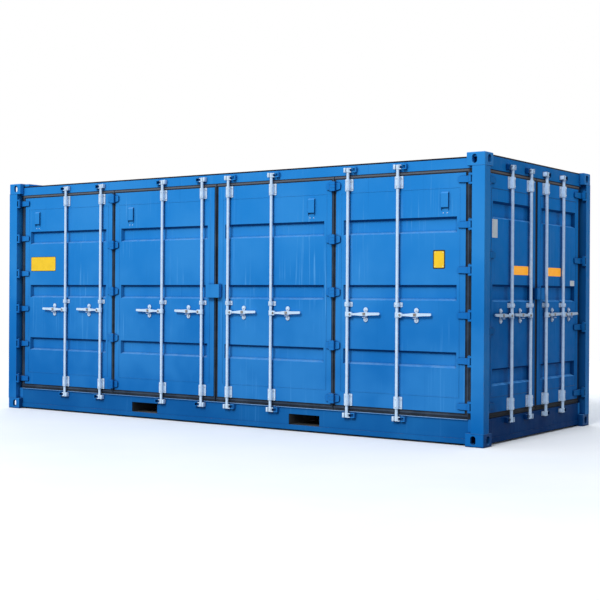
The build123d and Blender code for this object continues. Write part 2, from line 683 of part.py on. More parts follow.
def hinge_ears(pin_u, wall_u, height):
    """Two ears on the jamb and the pin between them."""
    half = HINGE_HEIGHT / 2
    hinge = hinge_round(pin_u, PIN_DEPTH, (height - half, height + half), PIN_RADIUS)
    d_range = (PIN_DEPTH - KNUCKLE_RADIUS, PIN_DEPTH + KNUCKLE_RADIUS)
    for low, high in ((height - half, height - half + HINGE_EAR), (height + half - HINGE_EAR, height + half)):
        hinge += hinge_round(pin_u, PIN_DEPTH, (low, high), KNUCKLE_RADIUS)
        hinge += block(sorted((pin_u, wall_u)), d_range, (low, high))
    return hinge


def hinge_blade(pin_u, sign, reach_u, height):
    """A cranked blade from the pin knuckle back to the leaf face, tapered to its tip."""
    half = HINGE_HEIGHT / 2 - HINGE_EAR - HINGE_EAR_GAP
    tip = BLADE_TIP_HEIGHT / 2
    z_range = (height - half, height + half)
    neck_outer = pin_u + sign * (KNUCKLE_RADIUS - HINGE_BLADE)
    neck_inner = pin_u - sign * KNUCKLE_RADIUS
    blade = hinge_round(pin_u, PIN_DEPTH, z_range, KNUCKLE_RADIUS)
    blade += block(sorted((neck_outer, neck_inner)), (PIN_DEPTH, LEAF_FRONT_DEPTH), z_range)
    foot = [(neck_inner, height - half), (reach_u, height - tip),
            (reach_u, height + tip), (neck_inner, height + half)]
    blade += facing(outline(foot), BLADE_FRONT, LEAF_FRONT_DEPTH)
    return blade - hinge_round(pin_u, PIN_DEPTH, z_range, PIN_RADIUS + PIN_CLEARANCE, bore=True)


def fold_hinge(centre, height):
    """A hinge over the fold between two side leaves: two tapered blades and a knuckle."""
    half = HINGE_HEIGHT / 2
    reach = FOLD_BLADE_ON_LEAF
    tip = half - HINGE_EAR
    corners = [(-reach, -tip), (0, -half), (reach, -tip), (reach, tip), (0, half), (-reach, tip)]
    placed = [(centre + u, height + z) for u, z in corners]
    hinge = facing(outline(placed), BLADE_FRONT, LEAF_FRONT_DEPTH)
    knuckle = hinge_round(centre, BLADE_FRONT, (height - half, height + half), KNUCKLE_RADIUS)
    behind = block((centre - reach, centre + reach), (LEAF_FRONT_DEPTH, WIDTH), (height - half, height + half))
    return hinge + (knuckle - behind)


# Lock rods with their cams and handles

def rod_cam(u, side, low):
    """The nosed lug that a rod turns into its keeper."""
    half = CAM_THICKNESS / 2
    tip = u + side * CAM_REACH
    shoulder = tip - side * CAM_NOSE
    corners = [(u, ROD_DEPTH - half), (shoulder, ROD_DEPTH - half), (tip, ROD_DEPTH - half + CAM_NOSE),
               (tip, ROD_DEPTH + half - CAM_NOSE), (shoulder, ROD_DEPTH + half), (u, ROD_DEPTH + half)]
    return prism(corners, (low, low + CAM_HEIGHT))


def handle(u, side):
    """The hub on the rod and the tapered bar that a hand pulls, with its padlock boss."""
    hub_z = (HANDLE_HEIGHT - HUB_HEIGHT / 2, HANDLE_HEIGHT + HUB_HEIGHT / 2)
    hub = block(sorted((u, u + side * HUB_LENGTH)), (HUB_FRONT, HUB_FRONT + HUB_THICKNESS), hub_z)
    root, tip, chamfered = HANDLE_ROOT / 2, HANDLE_TIP / 2, HANDLE_TIP_CHAMFER
    shoulder = HANDLE_REACH - chamfered
    low, high = HANDLE_RISE - tip, HANDLE_RISE + tip
    corners = [(HUB_LENGTH / 2, -root), (shoulder, low), (HANDLE_REACH, low + chamfered),
               (HANDLE_REACH, high - chamfered), (shoulder, high), (HUB_LENGTH / 2, root)]
    half = HANDLE_THICKNESS / 2
    placed = [(u + side * along, HANDLE_HEIGHT + z) for along, z in corners]
    grip = facing(outline(placed), HANDLE_DEPTH - half, HANDLE_DEPTH + half)
    centre = u + side * CATCH_FROM_ROD
    middle = HANDLE_HEIGHT + HANDLE_RISE * CATCH_FROM_ROD / HANDLE_REACH
    boss = block((centre - BOSS_HALF_WIDTH, centre + BOSS_HALF_WIDTH),
                 (HANDLE_DEPTH - half - BOSS_PROUD, HANDLE_DEPTH - half), (middle - tip, middle + tip))
    return hub + grip + boss


def lock_rod(u, side):
    """One upright rod with a cam at each end and its handle."""
    rod = disc(u, ROD_DEPTH, (ROD_BOTTOM, ROD_TOP), ROD_RADIUS)
    rod += rod_cam(u, side, ROD_BOTTOM)
    rod += rod_cam(u, side, ROD_TOP - CAM_HEIGHT)
    return rod + handle(u, side)


def keeper(u, side, low):
    """The cup on the rail that a cam turns into, open to the cam and to the front."""
    near = CAM_REACH + KEEPER_CAM_GAP
    span = sorted((u + side * near, u + side * (near + KEEPER_BLOCK)))
    pocket = sorted((u + side * near, u + side * (near + KEEPER_BLOCK - KEEPER_WALL)))
    cup = block(span, (KEEPER_BLOCK_FRONT, RAIL_FACE_DEPTH), (low, low + KEEPER_HEIGHT))
    return cup - block(pocket, (KEEPER_BLOCK_FRONT, RAIL_FACE_DEPTH - KEEPER_WALL),
                       (low + KEEPER_WALL, low + KEEPER_HEIGHT - KEEPER_WALL))


def cam_stop(u, side, low):
    """The cheek on the rail that guides a rod from its other side."""
    near = ROD_RADIUS + KEEPER_ROD_GAP
    span = sorted((u - side * near, u - side * (near + KEEPER_CHEEK)))
    return block(span, (KEEPER_CHEEK_FRONT, RAIL_FACE_DEPTH), (low, low + KEEPER_HEIGHT))


def bracket(u, z_range):
    """A bearing bracket: base plate on the leaf and box clamp around the rod."""
    bore = ROD_RADIUS + CLAMP_CLEARANCE
    front = ROD_DEPTH - bore - CLAMP_WALL
    clamp_z = (z_range[0] + CLAMP_INSET, z_range[1] - CLAMP_INSET)
    clamp = block((u - CLAMP_HALF_WIDTH, u + CLAMP_HALF_WIDTH), (front, PLATE_FRONT), clamp_z)
    clamp = chamfer(clamp.edges().filter_by(Axis.Z).group_by(Axis.Y)[0], CLAMP_CHAMFER)
    base = block((u - BRACKET_HALF_WIDTH, u + BRACKET_HALF_WIDTH), (PLATE_FRONT, LEAF_FRONT_DEPTH), z_range)
    return base + clamp - block((u - bore, u + bore), (ROD_DEPTH - bore, ROD_DEPTH + bore), z_range)


def handle_catch(u, side):
    """The catch that holds a handle: a plate with two lobes and a shelf under the bar."""
    centre = u + side * CATCH_FROM_ROD
    lobes = (CATCH_BOTTOM + CATCH_LOBE_RADIUS, CATCH_TOP - CATCH_LOBE_RADIUS)
    sketch = Pos(centre, (lobes[0] + lobes[1]) / 2) * Rectangle(CATCH_WAIST, lobes[1] - lobes[0])
    for height in lobes:
        sketch += Pos(centre, height) * RegularPolygon(CATCH_LOBE_RADIUS, CATCH_SIDES)
    plate = facing(sketch, PLATE_FRONT, LEAF_FRONT_DEPTH)
    shelf_top = HANDLE_HEIGHT - HANDLE_ROOT / 2 - CATCH_SHELF_GAP
    shelf_half = CATCH_SHELF_WIDTH / 2
    return plate + block((centre - shelf_half, centre + shelf_half), (CATCH_SHELF_FRONT, LEAF_FRONT_DEPTH),
                         (shelf_top - BRACKET_PLATE, shelf_top))


def rod_fittings(rods):
    """Brackets and catches that carry a set of rods."""
    shapes = []
    for u, side in rods:
        shapes.append(bracket(u, (LEAF_BOTTOM, LEAF_BOTTOM + BRACKET_HEIGHT)))
        shapes.append(bracket(u, (GUIDE_BOTTOM, GUIDE_BOTTOM + GUIDE_HEIGHT)))
        shapes.append(bracket(u, (LEAF_TOP - BRACKET_HEIGHT, LEAF_TOP)))
        shapes.append(handle_catch(u, side))
    return shapes


def at_rod_ends(make, rods):
    """One piece of a kind on the rail below and above each rod."""
    return [make(u, side, low) for u, side in rods for low in (ROD_BOTTOM, ROD_TOP - CAM_HEIGHT)]


# Vents and lock boxes

def vent(centre):
    """A pressed hood over the vent holes, with an open mouth cut at a slant across its foot."""
    front = LEAF_FRONT_DEPTH - VENT_PROUD
    half = VENT_WIDTH / 2
    section = [(LEAF_FRONT_DEPTH, VENT_TOP), (front, VENT_TOP - VENT_PROUD), (front, VENT_BOTTOM + VENT_FOOT),
               (LEAF_FRONT_DEPTH, VENT_BOTTOM)]
    hood = bar(section, (centre - half, centre + half))
    half -= VENT_WALL
    inner = block((centre - half, centre + half), (front + VENT_WALL, LEAF_FRONT_DEPTH),
                  (VENT_BOTTOM, VENT_TOP - VENT_PROUD - VENT_WALL))
    return hood - inner


def half_lock_box(seam_u, outer_u, height):
    """Half of a lock box beside a seam, open to the seam and at its foot."""
    span = sorted((seam_u, outer_u))
    wall = LOCK_BOX_WALL
    top = LOCK_BOX_BOTTOM + height
    outer = block(span, (LOCK_BOX_FRONT, LEAF_FRONT_DEPTH), (LOCK_BOX_BOTTOM, top))
    inner_span = (span[0] + wall, span[1]) if outer_u < seam_u else (span[0], span[1] - wall)
    inner = block(inner_span, (LOCK_BOX_FRONT + wall, LEAF_FRONT_DEPTH), (LOCK_BOX_BOTTOM, top - wall))
    return outer - inner


# Assembly, one group of nodes at a time

def save_frame():
    """Castings, posts and rails."""
    save("top_castings", four_castings(True))
    save("bottom_castings", four_castings(False))
    save("rear_posts", [place_post(post(True, True), 1, -1), place_post(post(True, False), 1, 1)])
    save("front_posts", [place_post(post(False, True), -1, -1), place_post(post(False, False), -1, 1)])
    save("near_top_rail", [SIDE_FACE * door_top_rail(CASTING_INNER_X, SIDE_STOP_EDGE, TOP_RAIL_TOP, False)])
    near_rail = door_bottom_rail(CASTING_INNER_X, SIDE_STOP_EDGE, POCKET_CENTRES, lip=True)
    save("near_bottom_rail", [SIDE_FACE * near_rail])
    save("rear_header", [END_FACE * door_top_rail(CASTING_INNER_Y, END_STOP_EDGE, REAR_HEADER_TOP, True)])
    save("rear_sill", [END_FACE * door_bottom_rail(CASTING_INNER_Y, END_STOP_EDGE, (), lip=False)])
    far_pockets = [-centre for centre in POCKET_CENTRES]
    save("far_top_rail", [FAR_FACE * plain_top_rail(CASTING_INNER_X, False)])
    save("far_bottom_rail", [FAR_FACE * plain_bottom_rail(CASTING_INNER_X, PLAIN_RAIL_BACK, far_pockets)])
    save("front_header", [FRONT_FACE * plain_top_rail(CASTING_INNER_Y, True)])
    save("front_sill", [FRONT_FACE * plain_bottom_rail(CASTING_INNER_Y, FRONT_SILL_BACK, ())])
    door_depths = (RAIL_FACE_DEPTH, STOP_BACK)
    pieces = []
    for face, inner, post_inner in ((SIDE_FACE, CASTING_INNER_X, POST_INNER_X),
                                    (END_FACE, CASTING_INNER_Y, POST_INNER_Y)):
        for heights in ((CASTING_Z, BOTTOM_RAIL_TOP), (TOP_RAIL_BOTTOM, POST_TOP)):
            pieces += [face * end for end in rail_ends(inner, post_inner, door_depths, heights, RAIL_WALL)]
    for face, inner, post_inner, back in ((FAR_FACE, CASTING_INNER_X, POST_INNER_X, PLAIN_RAIL_BACK),
                                          (FRONT_FACE, CASTING_INNER_Y, POST_INNER_Y, FRONT_SILL_BACK)):
        plain = rail_ends(inner, post_inner, (PLAIN_RAIL_DEPTH, back), (CASTING_Z, FLOOR_TOP), PLAIN_RAIL_WALL)
        pieces += [face * end for end in plain]
    save("rail_ends", pieces)


def save_shell():
    """Walls, roof, floor and underframe."""
    wall_z = (FLOOR_TOP, POST_TOP)
    save("far_side_wall", [FAR_FACE * sheet_wall(POST_INNER_X, SIDE_WALL_PITCH, SIDE_WALL_OUTER_FLAT,
                                                 SIDE_WALL_SLOPE, SIDE_WALL_DEPTH, wall_z)])
    save("front_wall", [FRONT_FACE * sheet_wall(POST_INNER_Y, FRONT_WALL_PITCH, FRONT_WALL_OUTER_FLAT,
                                                FRONT_WALL_SLOPE, FRONT_WALL_DEPTH, wall_z)])
    save("roof", [roof()])
    save("roof_corner_plates", [corner_plate(sx, sy) for sx in (-1, 1) for sy in (-1, 1)])
    save("floor", [floor_slab()])
    save("cross_members", cross_members())
    save("fork_pockets", [fork_pocket(centre) for centre in POCKET_CENTRES])


def save_side_doors():
    """The four folding leaves and everything on them."""
    for index in range(4):
        door = leaf(side_leaf_span(index), SIDE_GROOVES, SIDE_GROOVE_HEIGHT)
        save(f"side_door_{index + 1}", [SIDE_FACE * door])
    blade_reach = SIDE_LEAF_EDGE - SIDE_BLADE_ON_LEAF
    heights = even_heights(SIDE_HINGE_COUNT)
    ears = [hinge_ears(s * SIDE_PIN, s * POST_INNER_X, z) for s in (-1, 1) for z in heights]
    blades = [hinge_blade(s * SIDE_PIN, s, s * blade_reach, z) for s in (-1, 1) for z in heights]
    folds = [fold_hinge(s * SIDE_FOLD_LINE, z) for s in (-1, 1) for z in even_heights(FOLD_HINGE_COUNT)]
    boxes = [half_lock_box(-SEAL_SWING_GAP, -SIDE_LOCK_BOX_LEFT, SIDE_LOCK_BOX_HEIGHT),
             half_lock_box(SEAL_SWING_GAP, SIDE_LOCK_BOX_RIGHT, SIDE_LOCK_BOX_HEIGHT)]
    groups = {
        "side_seals": side_seals(),
        "side_hinge_ears": ears,
        "side_hinge_blades": blades,
        "fold_hinges": folds,
        "side_rod_fittings": rod_fittings(SIDE_RODS),
        "side_keepers": at_rod_ends(keeper, SIDE_RODS),
        "side_cam_stops": at_rod_ends(cam_stop, SIDE_RODS),
        "side_vents": [vent(sign * place) for sign in (-1, 1) for place in VENT_PLACES],
        "side_lock_box": boxes,
    }
    for node, shapes in groups.items():
        save(node, [SIDE_FACE * shape for shape in shapes])
    for index, (u, side) in enumerate(SIDE_RODS):
        save(f"side_rod_{index + 1}", [SIDE_FACE * lock_rod(u, side)])


def save_end_doors():
    """The two swing leaves at the end and everything on them."""
    outer_z = (BOTTOM_RAIL_TOP + SEAL_SWING_GAP, TOP_RAIL_BOTTOM - SEAL_SWING_GAP)
    seal_edge = END_PIN - END_PIN_FROM_POST
    blade_reach = END_LEAF_EDGE - END_BLADE_ON_LEAF
    for sign, name in ((-1, "near"), (1, "far")):
        span = end_leaf_span(sign)
        rods = [rod for rod in END_RODS if rod[1] == sign]
        groups = {
            "end_door": [leaf(span, END_GROOVES, END_GROOVE_HEIGHT)],
            "end_seal": [seal(span, sorted((sign * SEAL_SWING_GAP, sign * seal_edge)), outer_z)],
            "end_hinge_blades": [hinge_blade(sign * END_PIN, sign, sign * blade_reach, z)
                                 for z in END_HINGE_HEIGHTS],
            "end_rod_fittings": rod_fittings(rods),
            "end_lock_box": [half_lock_box(sign * SEAL_SWING_GAP, sign * END_LOCK_BOX_HALF_WIDTH,
                                           END_LOCK_BOX_HEIGHT)],
        }
        for node, shapes in groups.items():
            save(f"{node}_{name}", [END_FACE * shape for shape in shapes])
    ears = [hinge_ears(s * END_PIN, s * POST_INNER_Y, z) for s in (-1, 1) for z in END_HINGE_HEIGHTS]
    save("end_hinge_ears", [END_FACE * shape for shape in ears])
    save("end_keepers", [END_FACE * shape for shape in at_rod_ends(keeper, END_RODS)])
    save("end_cam_stops", [END_FACE * shape for shape in at_rod_ends(cam_stop, END_RODS)])
    for index, (u, side) in enumerate(END_RODS):
        save(f"end_rod_{index + 1}", [END_FACE * lock_rod(u, side)])


os.makedirs("parts", exist_ok=True)
save_frame()
save_shell()
save_side_doors()
save_end_doors()
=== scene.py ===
"""Looks of a side-opening shipping container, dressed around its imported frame.

Lengths are metres in the frame's own axes: +X towards the end doors, -Y towards the
side doors, +Z up. Door gear is placed in a face's own space, where u runs along the
face, d is the depth behind its outer plane and z is the height.
"""

import json
import logging
import math
from dataclasses import dataclass, field, replace
from enum import Enum
from typing import Iterable, Sequence

import bmesh
import bpy
from mathutils import Matrix, Vector

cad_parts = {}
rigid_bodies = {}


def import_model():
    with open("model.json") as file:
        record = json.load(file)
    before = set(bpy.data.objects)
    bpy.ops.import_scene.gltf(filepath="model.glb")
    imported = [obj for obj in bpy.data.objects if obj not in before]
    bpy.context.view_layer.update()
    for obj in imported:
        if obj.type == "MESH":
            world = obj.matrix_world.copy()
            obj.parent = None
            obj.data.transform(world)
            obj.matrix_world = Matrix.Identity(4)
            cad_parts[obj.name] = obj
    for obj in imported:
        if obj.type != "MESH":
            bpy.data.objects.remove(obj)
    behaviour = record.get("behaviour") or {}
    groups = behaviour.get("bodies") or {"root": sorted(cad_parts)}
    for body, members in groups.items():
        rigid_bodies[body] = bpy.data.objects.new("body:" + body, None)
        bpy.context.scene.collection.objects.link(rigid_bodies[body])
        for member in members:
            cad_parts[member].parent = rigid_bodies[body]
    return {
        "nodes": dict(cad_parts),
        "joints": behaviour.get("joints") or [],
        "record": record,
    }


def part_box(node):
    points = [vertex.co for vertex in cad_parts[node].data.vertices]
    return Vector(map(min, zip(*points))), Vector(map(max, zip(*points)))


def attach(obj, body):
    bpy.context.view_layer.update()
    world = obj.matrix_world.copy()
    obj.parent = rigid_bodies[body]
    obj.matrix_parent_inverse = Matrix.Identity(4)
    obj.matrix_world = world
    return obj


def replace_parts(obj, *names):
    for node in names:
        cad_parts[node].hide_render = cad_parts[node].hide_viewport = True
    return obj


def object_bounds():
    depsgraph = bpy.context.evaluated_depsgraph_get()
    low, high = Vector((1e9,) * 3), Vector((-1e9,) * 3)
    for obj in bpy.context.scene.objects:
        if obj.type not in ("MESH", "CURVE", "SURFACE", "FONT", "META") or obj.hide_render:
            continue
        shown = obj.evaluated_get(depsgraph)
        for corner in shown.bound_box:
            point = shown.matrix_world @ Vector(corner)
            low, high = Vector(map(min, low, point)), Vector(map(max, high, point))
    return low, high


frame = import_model()
CAD_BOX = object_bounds()

LOG = logging.getLogger("container")
MM = 0.001

Span = tuple[float, float]
Colour = tuple[float, float, float]
Socket = bpy.types.NodeSocket
Value = Socket | float
Input = Value | Sequence[float]

FULL: Span = (0.0, 1.0)
BEVEL_STEPS = 2
SHARP_ANGLE = math.radians(30)
SMOOTH_ANGLE = math.radians(40)
EDGE_RAYS = 4
CORNER_RAYS = 6
BEHIND_SIDE_FACE: Span = (-1.12, -1.08)

FOIL_EDGE = 0.4 * MM
BENT_EDGE = 0.8 * MM
SHEET_EDGE = 1 * MM
SEAM_EDGE = 1.2 * MM
CUT_EDGE = 1.5 * MM
PIN_EDGE = 2 * MM
BLADE_EDGE = 2.5 * MM
ROUND_EDGE = 3 * MM


class Axis(Enum):
    """The direction that a form is drawn out or turned along, in a face's own space."""

    U = "u"
    D = "d"
    Z = "z"


class Slot(Enum):
    """The material slots of the record."""

    SHELL = "shell_paint"
    DOOR = "door_paint"
    HINGE = "hinge_paint"
    UNDERFRAME = "underframe_coating"
    FLOOR = "floor_plywood"
    SEAL = "seal_rubber"
    ZINC = "galvanised_steel"


class Facing(Enum):
    """The way a surface faces: an axis, and where on it the mask starts and is full."""

    UP = (2, (0.25, 0.85))
    DOWN = (2, (-0.20, -0.65))
    END = (0, (0.45, 0.85))
    SIDE = (1, (-0.15, -0.60))


# Faces and forms

@dataclass(frozen=True)
class Face:
    """One upright face of the container and its own (u, d, z) space.

    Args:
        centre: the point on the ground below the middle of the outer plane.
        along: the direction of u.
        inward: the direction of d.
    """

    centre: Vector
    along: Vector
    inward: Vector

    def matrix(self) -> Matrix:
        """The transform from (u, d, z) to the container's axes."""
        turn = Matrix((self.along, self.inward, Vector((0, 0, 1)))).transposed()
        return Matrix.Translation(self.centre) @ turn.to_4x4()

    def local(self, point: Sequence[float]) -> Vector:
        """A point of the container in the face's own space."""
        return self.matrix().inverted() @ Vector(point)

    def box(self, node: str) -> tuple[Span, Span, Span]:
        """The spans of u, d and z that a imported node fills."""
        low, high = map(self.local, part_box(node))
        return tuple((min(pair), max(pair)) for pair in zip(low, high))


HALF_LENGTH = CAD_BOX[1][0]
HALF_WIDTH = CAD_BOX[1][1]
SIDE_FACE = Face(Vector((0, -HALF_WIDTH, 0)), Vector((1, 0, 0)), Vector((0, 1, 0)))
END_FACE = Face(Vector((HALF_LENGTH, 0, 0)), Vector((0, 1, 0)), Vector((-1, 0, 0)))
FAR_FACE = Face(Vector((0, HALF_WIDTH, 0)), Vector((-1, 0, 0)), Vector((0, -1, 0)))
FRONT_FACE = Face(Vector((-HALF_LENGTH, 0, 0)), Vector((0, -1, 0)), Vector((1, 0, 0)))

TURNED = {
    Axis.U: Matrix(((0, 0, 1, 0), (1, 0, 0, 0), (0, 1, 0, 0), (0, 0, 0, 1))),
    Axis.D: Matrix(((0, 1, 0, 0), (0, 0, 1, 0), (1, 0, 0, 0), (0, 0, 0, 1))),
    Axis.Z: Matrix.Identity(4),
}
DRAWN_OUT = {Axis.D: (0, 2, 1), Axis.Z: (0, 1, 2)}


def around(middle: float, half: float) -> Span:
    """The span that reaches equally far to both sides of its middle."""
    return middle - half, middle + half


def widened(span: Span, more: float) -> Span:
    """A span made longer at both ends, or shorter where more is negative."""
    return span[0] - more, span[1] + more


def rounded(corners: Sequence[Span], radius: float, steps: int = 4) -> list[Span]:
    """An outline with its corners rounded off.

    Args:
        corners: the outline's corners in order.
        radius: how far the rounding reaches along each edge.
        steps: how many facets turn each corner.

    Returns:
        The points of the rounded outline.
    """
    points = []
    for index, corner in enumerate(corners):
        here = Vector(corner)
        before = Vector(corners[index - 1]) - here
        after = Vector(corners[(index + 1) % len(corners)]) - here
        reach = min(radius, before.length / 2, after.length / 2)
        start = here + before.normalized() * reach
        end = here + after.normalized() * reach
        for step in range(steps + 1):
            share = step / steps
            points.append(tuple(start.lerp(here, share).lerp(here.lerp(end, share), share)))
    return points


def lathed(profile: Sequence[Span], segments: int, turn: float = 0.0) -> bmesh.types.BMesh:
    """A form turned about the z axis.

    Args:
        profile: (radius, length) points; a radius of zero closes an end.
        segments: how many sides the round has.
        turn: an angle that the sides start from, in degrees.

    Returns:
        The form's mesh.
    """
    part = bmesh.new()
    angles = [math.radians(turn) + 2 * math.pi * index / segments for index in range(segments)]
    rows = [[part.verts.new((radius * math.cos(a), radius * math.sin(a), length))
             for a in (angles if radius > 0 else (0.0,))] for radius, length in profile]
    for low, high in zip(rows, rows[1:]):
        for index in range(segments):
            after = (index + 1) % segments
            corners = [low[index % len(low)], low[after % len(low)],
                       high[after % len(high)], high[index % len(high)]]
            part.faces.new(list(dict.fromkeys(corners)))
    return part


def disc(radius: float, height: float, rim: float, shoulder: float) -> list[Span]:
    """The profile of a low disc that stands out from its seat.

    Args:
        radius: the disc's radius.
        height: how far it stands out.
        rim: its flat front, as a share of the radius.
        shoulder: where its chamfer starts, as a share of the height.

    Returns:
        The (radius, length) points.
    """
    return [(0, -height), (radius * rim, -height), (radius, -height * shoulder), (radius, 0),
            (0, 0)]


def add_object(name: str, data: bpy.types.ID) -> bpy.types.Object:
    """Put a new object into the scene.

    Args:
        name: its name.
        data: its mesh, camera or lamp.

    Returns:
        The new object.
    """
    made = bpy.data.objects.new(name, data)
    bpy.context.scene.collection.objects.link(made)
    return made


@dataclass
class Form:
    """A mesh under construction in the space of one face.

    Args:
        face: the face whose (u, d, z) space the parts are given in.
    """

    face: Face
    verts: list[Vector] = field(default_factory=list)
    faces: list[tuple[int, ...]] = field(default_factory=list)

    def absorb(self, part: bmesh.types.BMesh, move: Matrix = Matrix.Identity(4),
               bevel: float = 0.0) -> None:
        """Round the sharp edges of a part, take it over and free it.

        Args:
            part: the closed mesh to add.
            move: where the part goes in the face's space.
            bevel: the edge radius.
        """
        sharp = [edge for edge in part.edges if edge.calc_face_angle(0.0) > SHARP_ANGLE]
        if bevel > 0 and sharp:
            bmesh.ops.bevel(part, geom=sharp, offset=bevel, offset_type="OFFSET",
                            segments=BEVEL_STEPS, profile=0.5, affect="EDGES", clamp_overlap=True)
        bmesh.ops.recalc_face_normals(part, faces=part.faces[:])
        part.verts.index_update()
        first = len(self.verts)
        self.verts += [move @ vert.co for vert in part.verts]
        self.faces += [tuple(first + vert.index for vert in face.verts) for face in part.faces]
        part.free()

    def box(self, u: Span, d: Span, z: Span, bevel: float = 0.0) -> None:
        """Add a block with rounded edges.

        Args:
            u: the reach along the face, in any order.
            d: the reach in depth.
            z: the reach in height.
            bevel: the edge radius.
        """
        part = bmesh.new()
        middle = Vector([(low + high) / 2 for low, high in (u, d, z)])
        size = Matrix.Diagonal([abs(high - low) for low, high in (u, d, z)] + [1])
        bmesh.ops.create_cube(part, size=1.0, matrix=Matrix.Translation(middle) @ size)
        self.absorb(part, bevel=bevel)

    def prism(self, outline: Sequence[Span], span: Span, axis: Axis = Axis.D,
              bevel: float = 0.0) -> None:
        """Add an outline drawn out along one axis.

        Args:
            outline: the corners in order: (u, z) along d, (u, d) along z.
            span: where the form starts and ends on the axis.
            axis: the axis that the outline is drawn out along.
            bevel: the edge radius.
        """
        part = bmesh.new()
        near, far = ([part.verts.new([(*corner, end)[index] for index in DRAWN_OUT[axis]])
                      for corner in outline] for end in span)
        part.faces.new(near)
        part.faces.new(far[::-1])
        for index, vert in enumerate(near):
            after = (index + 1) % len(outline)
            part.faces.new((near[after], vert, far[index], far[after]))
        self.absorb(part, bevel=bevel)

    def panel(self, u: Span, z: Span, d: Span, corner: float, bevel: float,
              steps: int = 4) -> None:
        """Add an upright plate with rounded corners.

        Args:
            u: the reach along the face.
            z: the reach in height.
            d: the reach in depth.
            corner: the radius of its corners.
            bevel: the edge radius.
            steps: how many facets turn each corner.
        """
        corners = [(u[0], z[0]), (u[1], z[0]), (u[1], z[1]), (u[0], z[1])]
        self.prism(rounded(corners, corner, steps), d, Axis.D, bevel)

    def pipe(self, centre: Vector, radius: float, span: Span, edge: float,
             axis: Axis = Axis.Z, segments: int = 24) -> None:
        """Add a round bar with chamfered ends.

        Args:
            centre: a point that the bar's length is counted from.
            radius: the bar's radius.
            span: where it starts and ends along the axis.
            edge: the chamfer.
            axis: the way that it runs.
            segments: how many sides the round has.
        """
        low, high = span
        self.lathe(centre, axis, [(0, low), (radius - edge, low), (radius, low + edge),
                                  (radius, high - edge), (radius - edge, high), (0, high)],
                   segments)

    def lathe(self, centre: Vector, axis: Axis, profile: Sequence[Span], segments: int,
              turn: float = 0.0) -> None:
        """Add a form turned about an axis.

        Args:
            centre: the point where the profile's length is zero.
            axis: the axis that the profile turns about.
            profile: (radius, length) points; a radius of zero closes an end.
            segments: how many sides the round has.
            turn: an angle that the sides start from, in degrees.
        """
        self.absorb(lathed(profile, segments, turn), Matrix.Translation(centre) @ TURNED[axis])

    def bolt(self, u: float, d: float, z: float, size: float, turn: float = 0.0) -> None:
        """Add a hexagon bolt head on its washer, facing out.

        Args:
            u: place along the face.
            d: depth of the surface that it sits on.
            z: height of its centre.
            size: radius over the head's corners.
            turn: how far the head is turned, in degrees.
        """
        seat, head, washer = 0.22 * size, 0.75 * size, 1.35 * size
        self.lathe(Vector((u, d, z)), Axis.D, disc(washer, seat, 0.96, 0.6), 20)
        self.lathe(Vector((u, d - seat, z)), Axis.D, disc(size, head, 0.82, 0.8), 6, turn)

    def rivet(self, u: float, d: float, z: float, radius: float) -> None:
        """Add a domed rivet head.

        Args:
            u: place along the face.
            d: depth of the surface that it sits on.
            z: height of its centre.
            radius: the head's radius.
        """
        rise = 0.55
        dome = [(radius * math.cos(math.radians(a)), -radius * rise * math.sin(math.radians(a)))
                for a in (0, 25, 50, 75)]
        self.lathe(Vector((u, d, z)), Axis.D, [(0, 0)] + dome + [(0, -radius * rise)], 14)

    def bead(self, start: Vector, end: Vector, radius: float, pitch: float = 5 * MM) -> None:
        """Add a rippled weld bead along a line.

        Args:
            start: one end of the line.
            end: the other end.
            radius: the bead's mean radius.
            pitch: the distance from ripple to ripple.
        """
        run = end - start
        count = max(2, round(run.length / pitch)) * 2
        profile = [(0.0, 0.0)]
        for index in range(count + 1):
            ripple = 1.12 if index % 2 else 0.88
            ends = 0.6 if index in (0, count) else 1.0
            profile.append((radius * ripple * ends, run.length * index / count))
        profile.append((0.0, run.length))
        turn = run.to_track_quat("Z", "Y").to_matrix().to_4x4()
        self.absorb(lathed(profile, 6), Matrix.Translation(start) @ turn)

    def build(self, name: str, finish: "Finish", body: str = "root") -> bpy.types.Object:
        """Make the object, give it its finish and let it ride on its body.

        Args:
            name: the piece's name.
            finish: its finish.
            body: the body that it rides on.

        Returns:
            The new object.
        """
        mesh = bpy.data.meshes.new(name)
        place = self.face.matrix()
        mesh.from_pydata([place @ vert for vert in self.verts], [], self.faces)
        mesh.update()
        for polygon in mesh.polygons:
            polygon.use_smooth = True
        mesh.set_sharp_from_angle(angle=SMOOTH_ANGLE)
        piece = add_object(name, mesh)
        piece.data.materials.append(finish.material())
        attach(piece, body)
        LOG.info("%s: %d faces on %s", name, len(mesh.polygons), body)
        return piece

    def stand_in(self, node: str, ending: str, finish: "Finish", body: str = "root") -> None:
        """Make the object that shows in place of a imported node, named after it."""
        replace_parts(self.build(node + ending, finish, body), node)


# Finishes

@dataclass(frozen=True)
class Pattern:
    """A noise pattern, and the range of it that a mask spreads out.

    Args:
        scale: how many features go into a metre.
        detail: how many finer layers it has.
        rough: how strong the finer layers are.
        low: the range of the noise that counts.
        high: the range that the mask brings it to.
        stretch: how the place is scaled on each axis, or None.
        distort: how far the pattern is pulled about.
    """

    scale: float
    detail: float
    rough: float
    low: Span = FULL
    high: Span = FULL
    stretch: tuple[float, float, float] | None = None
    distort: float = 0.0


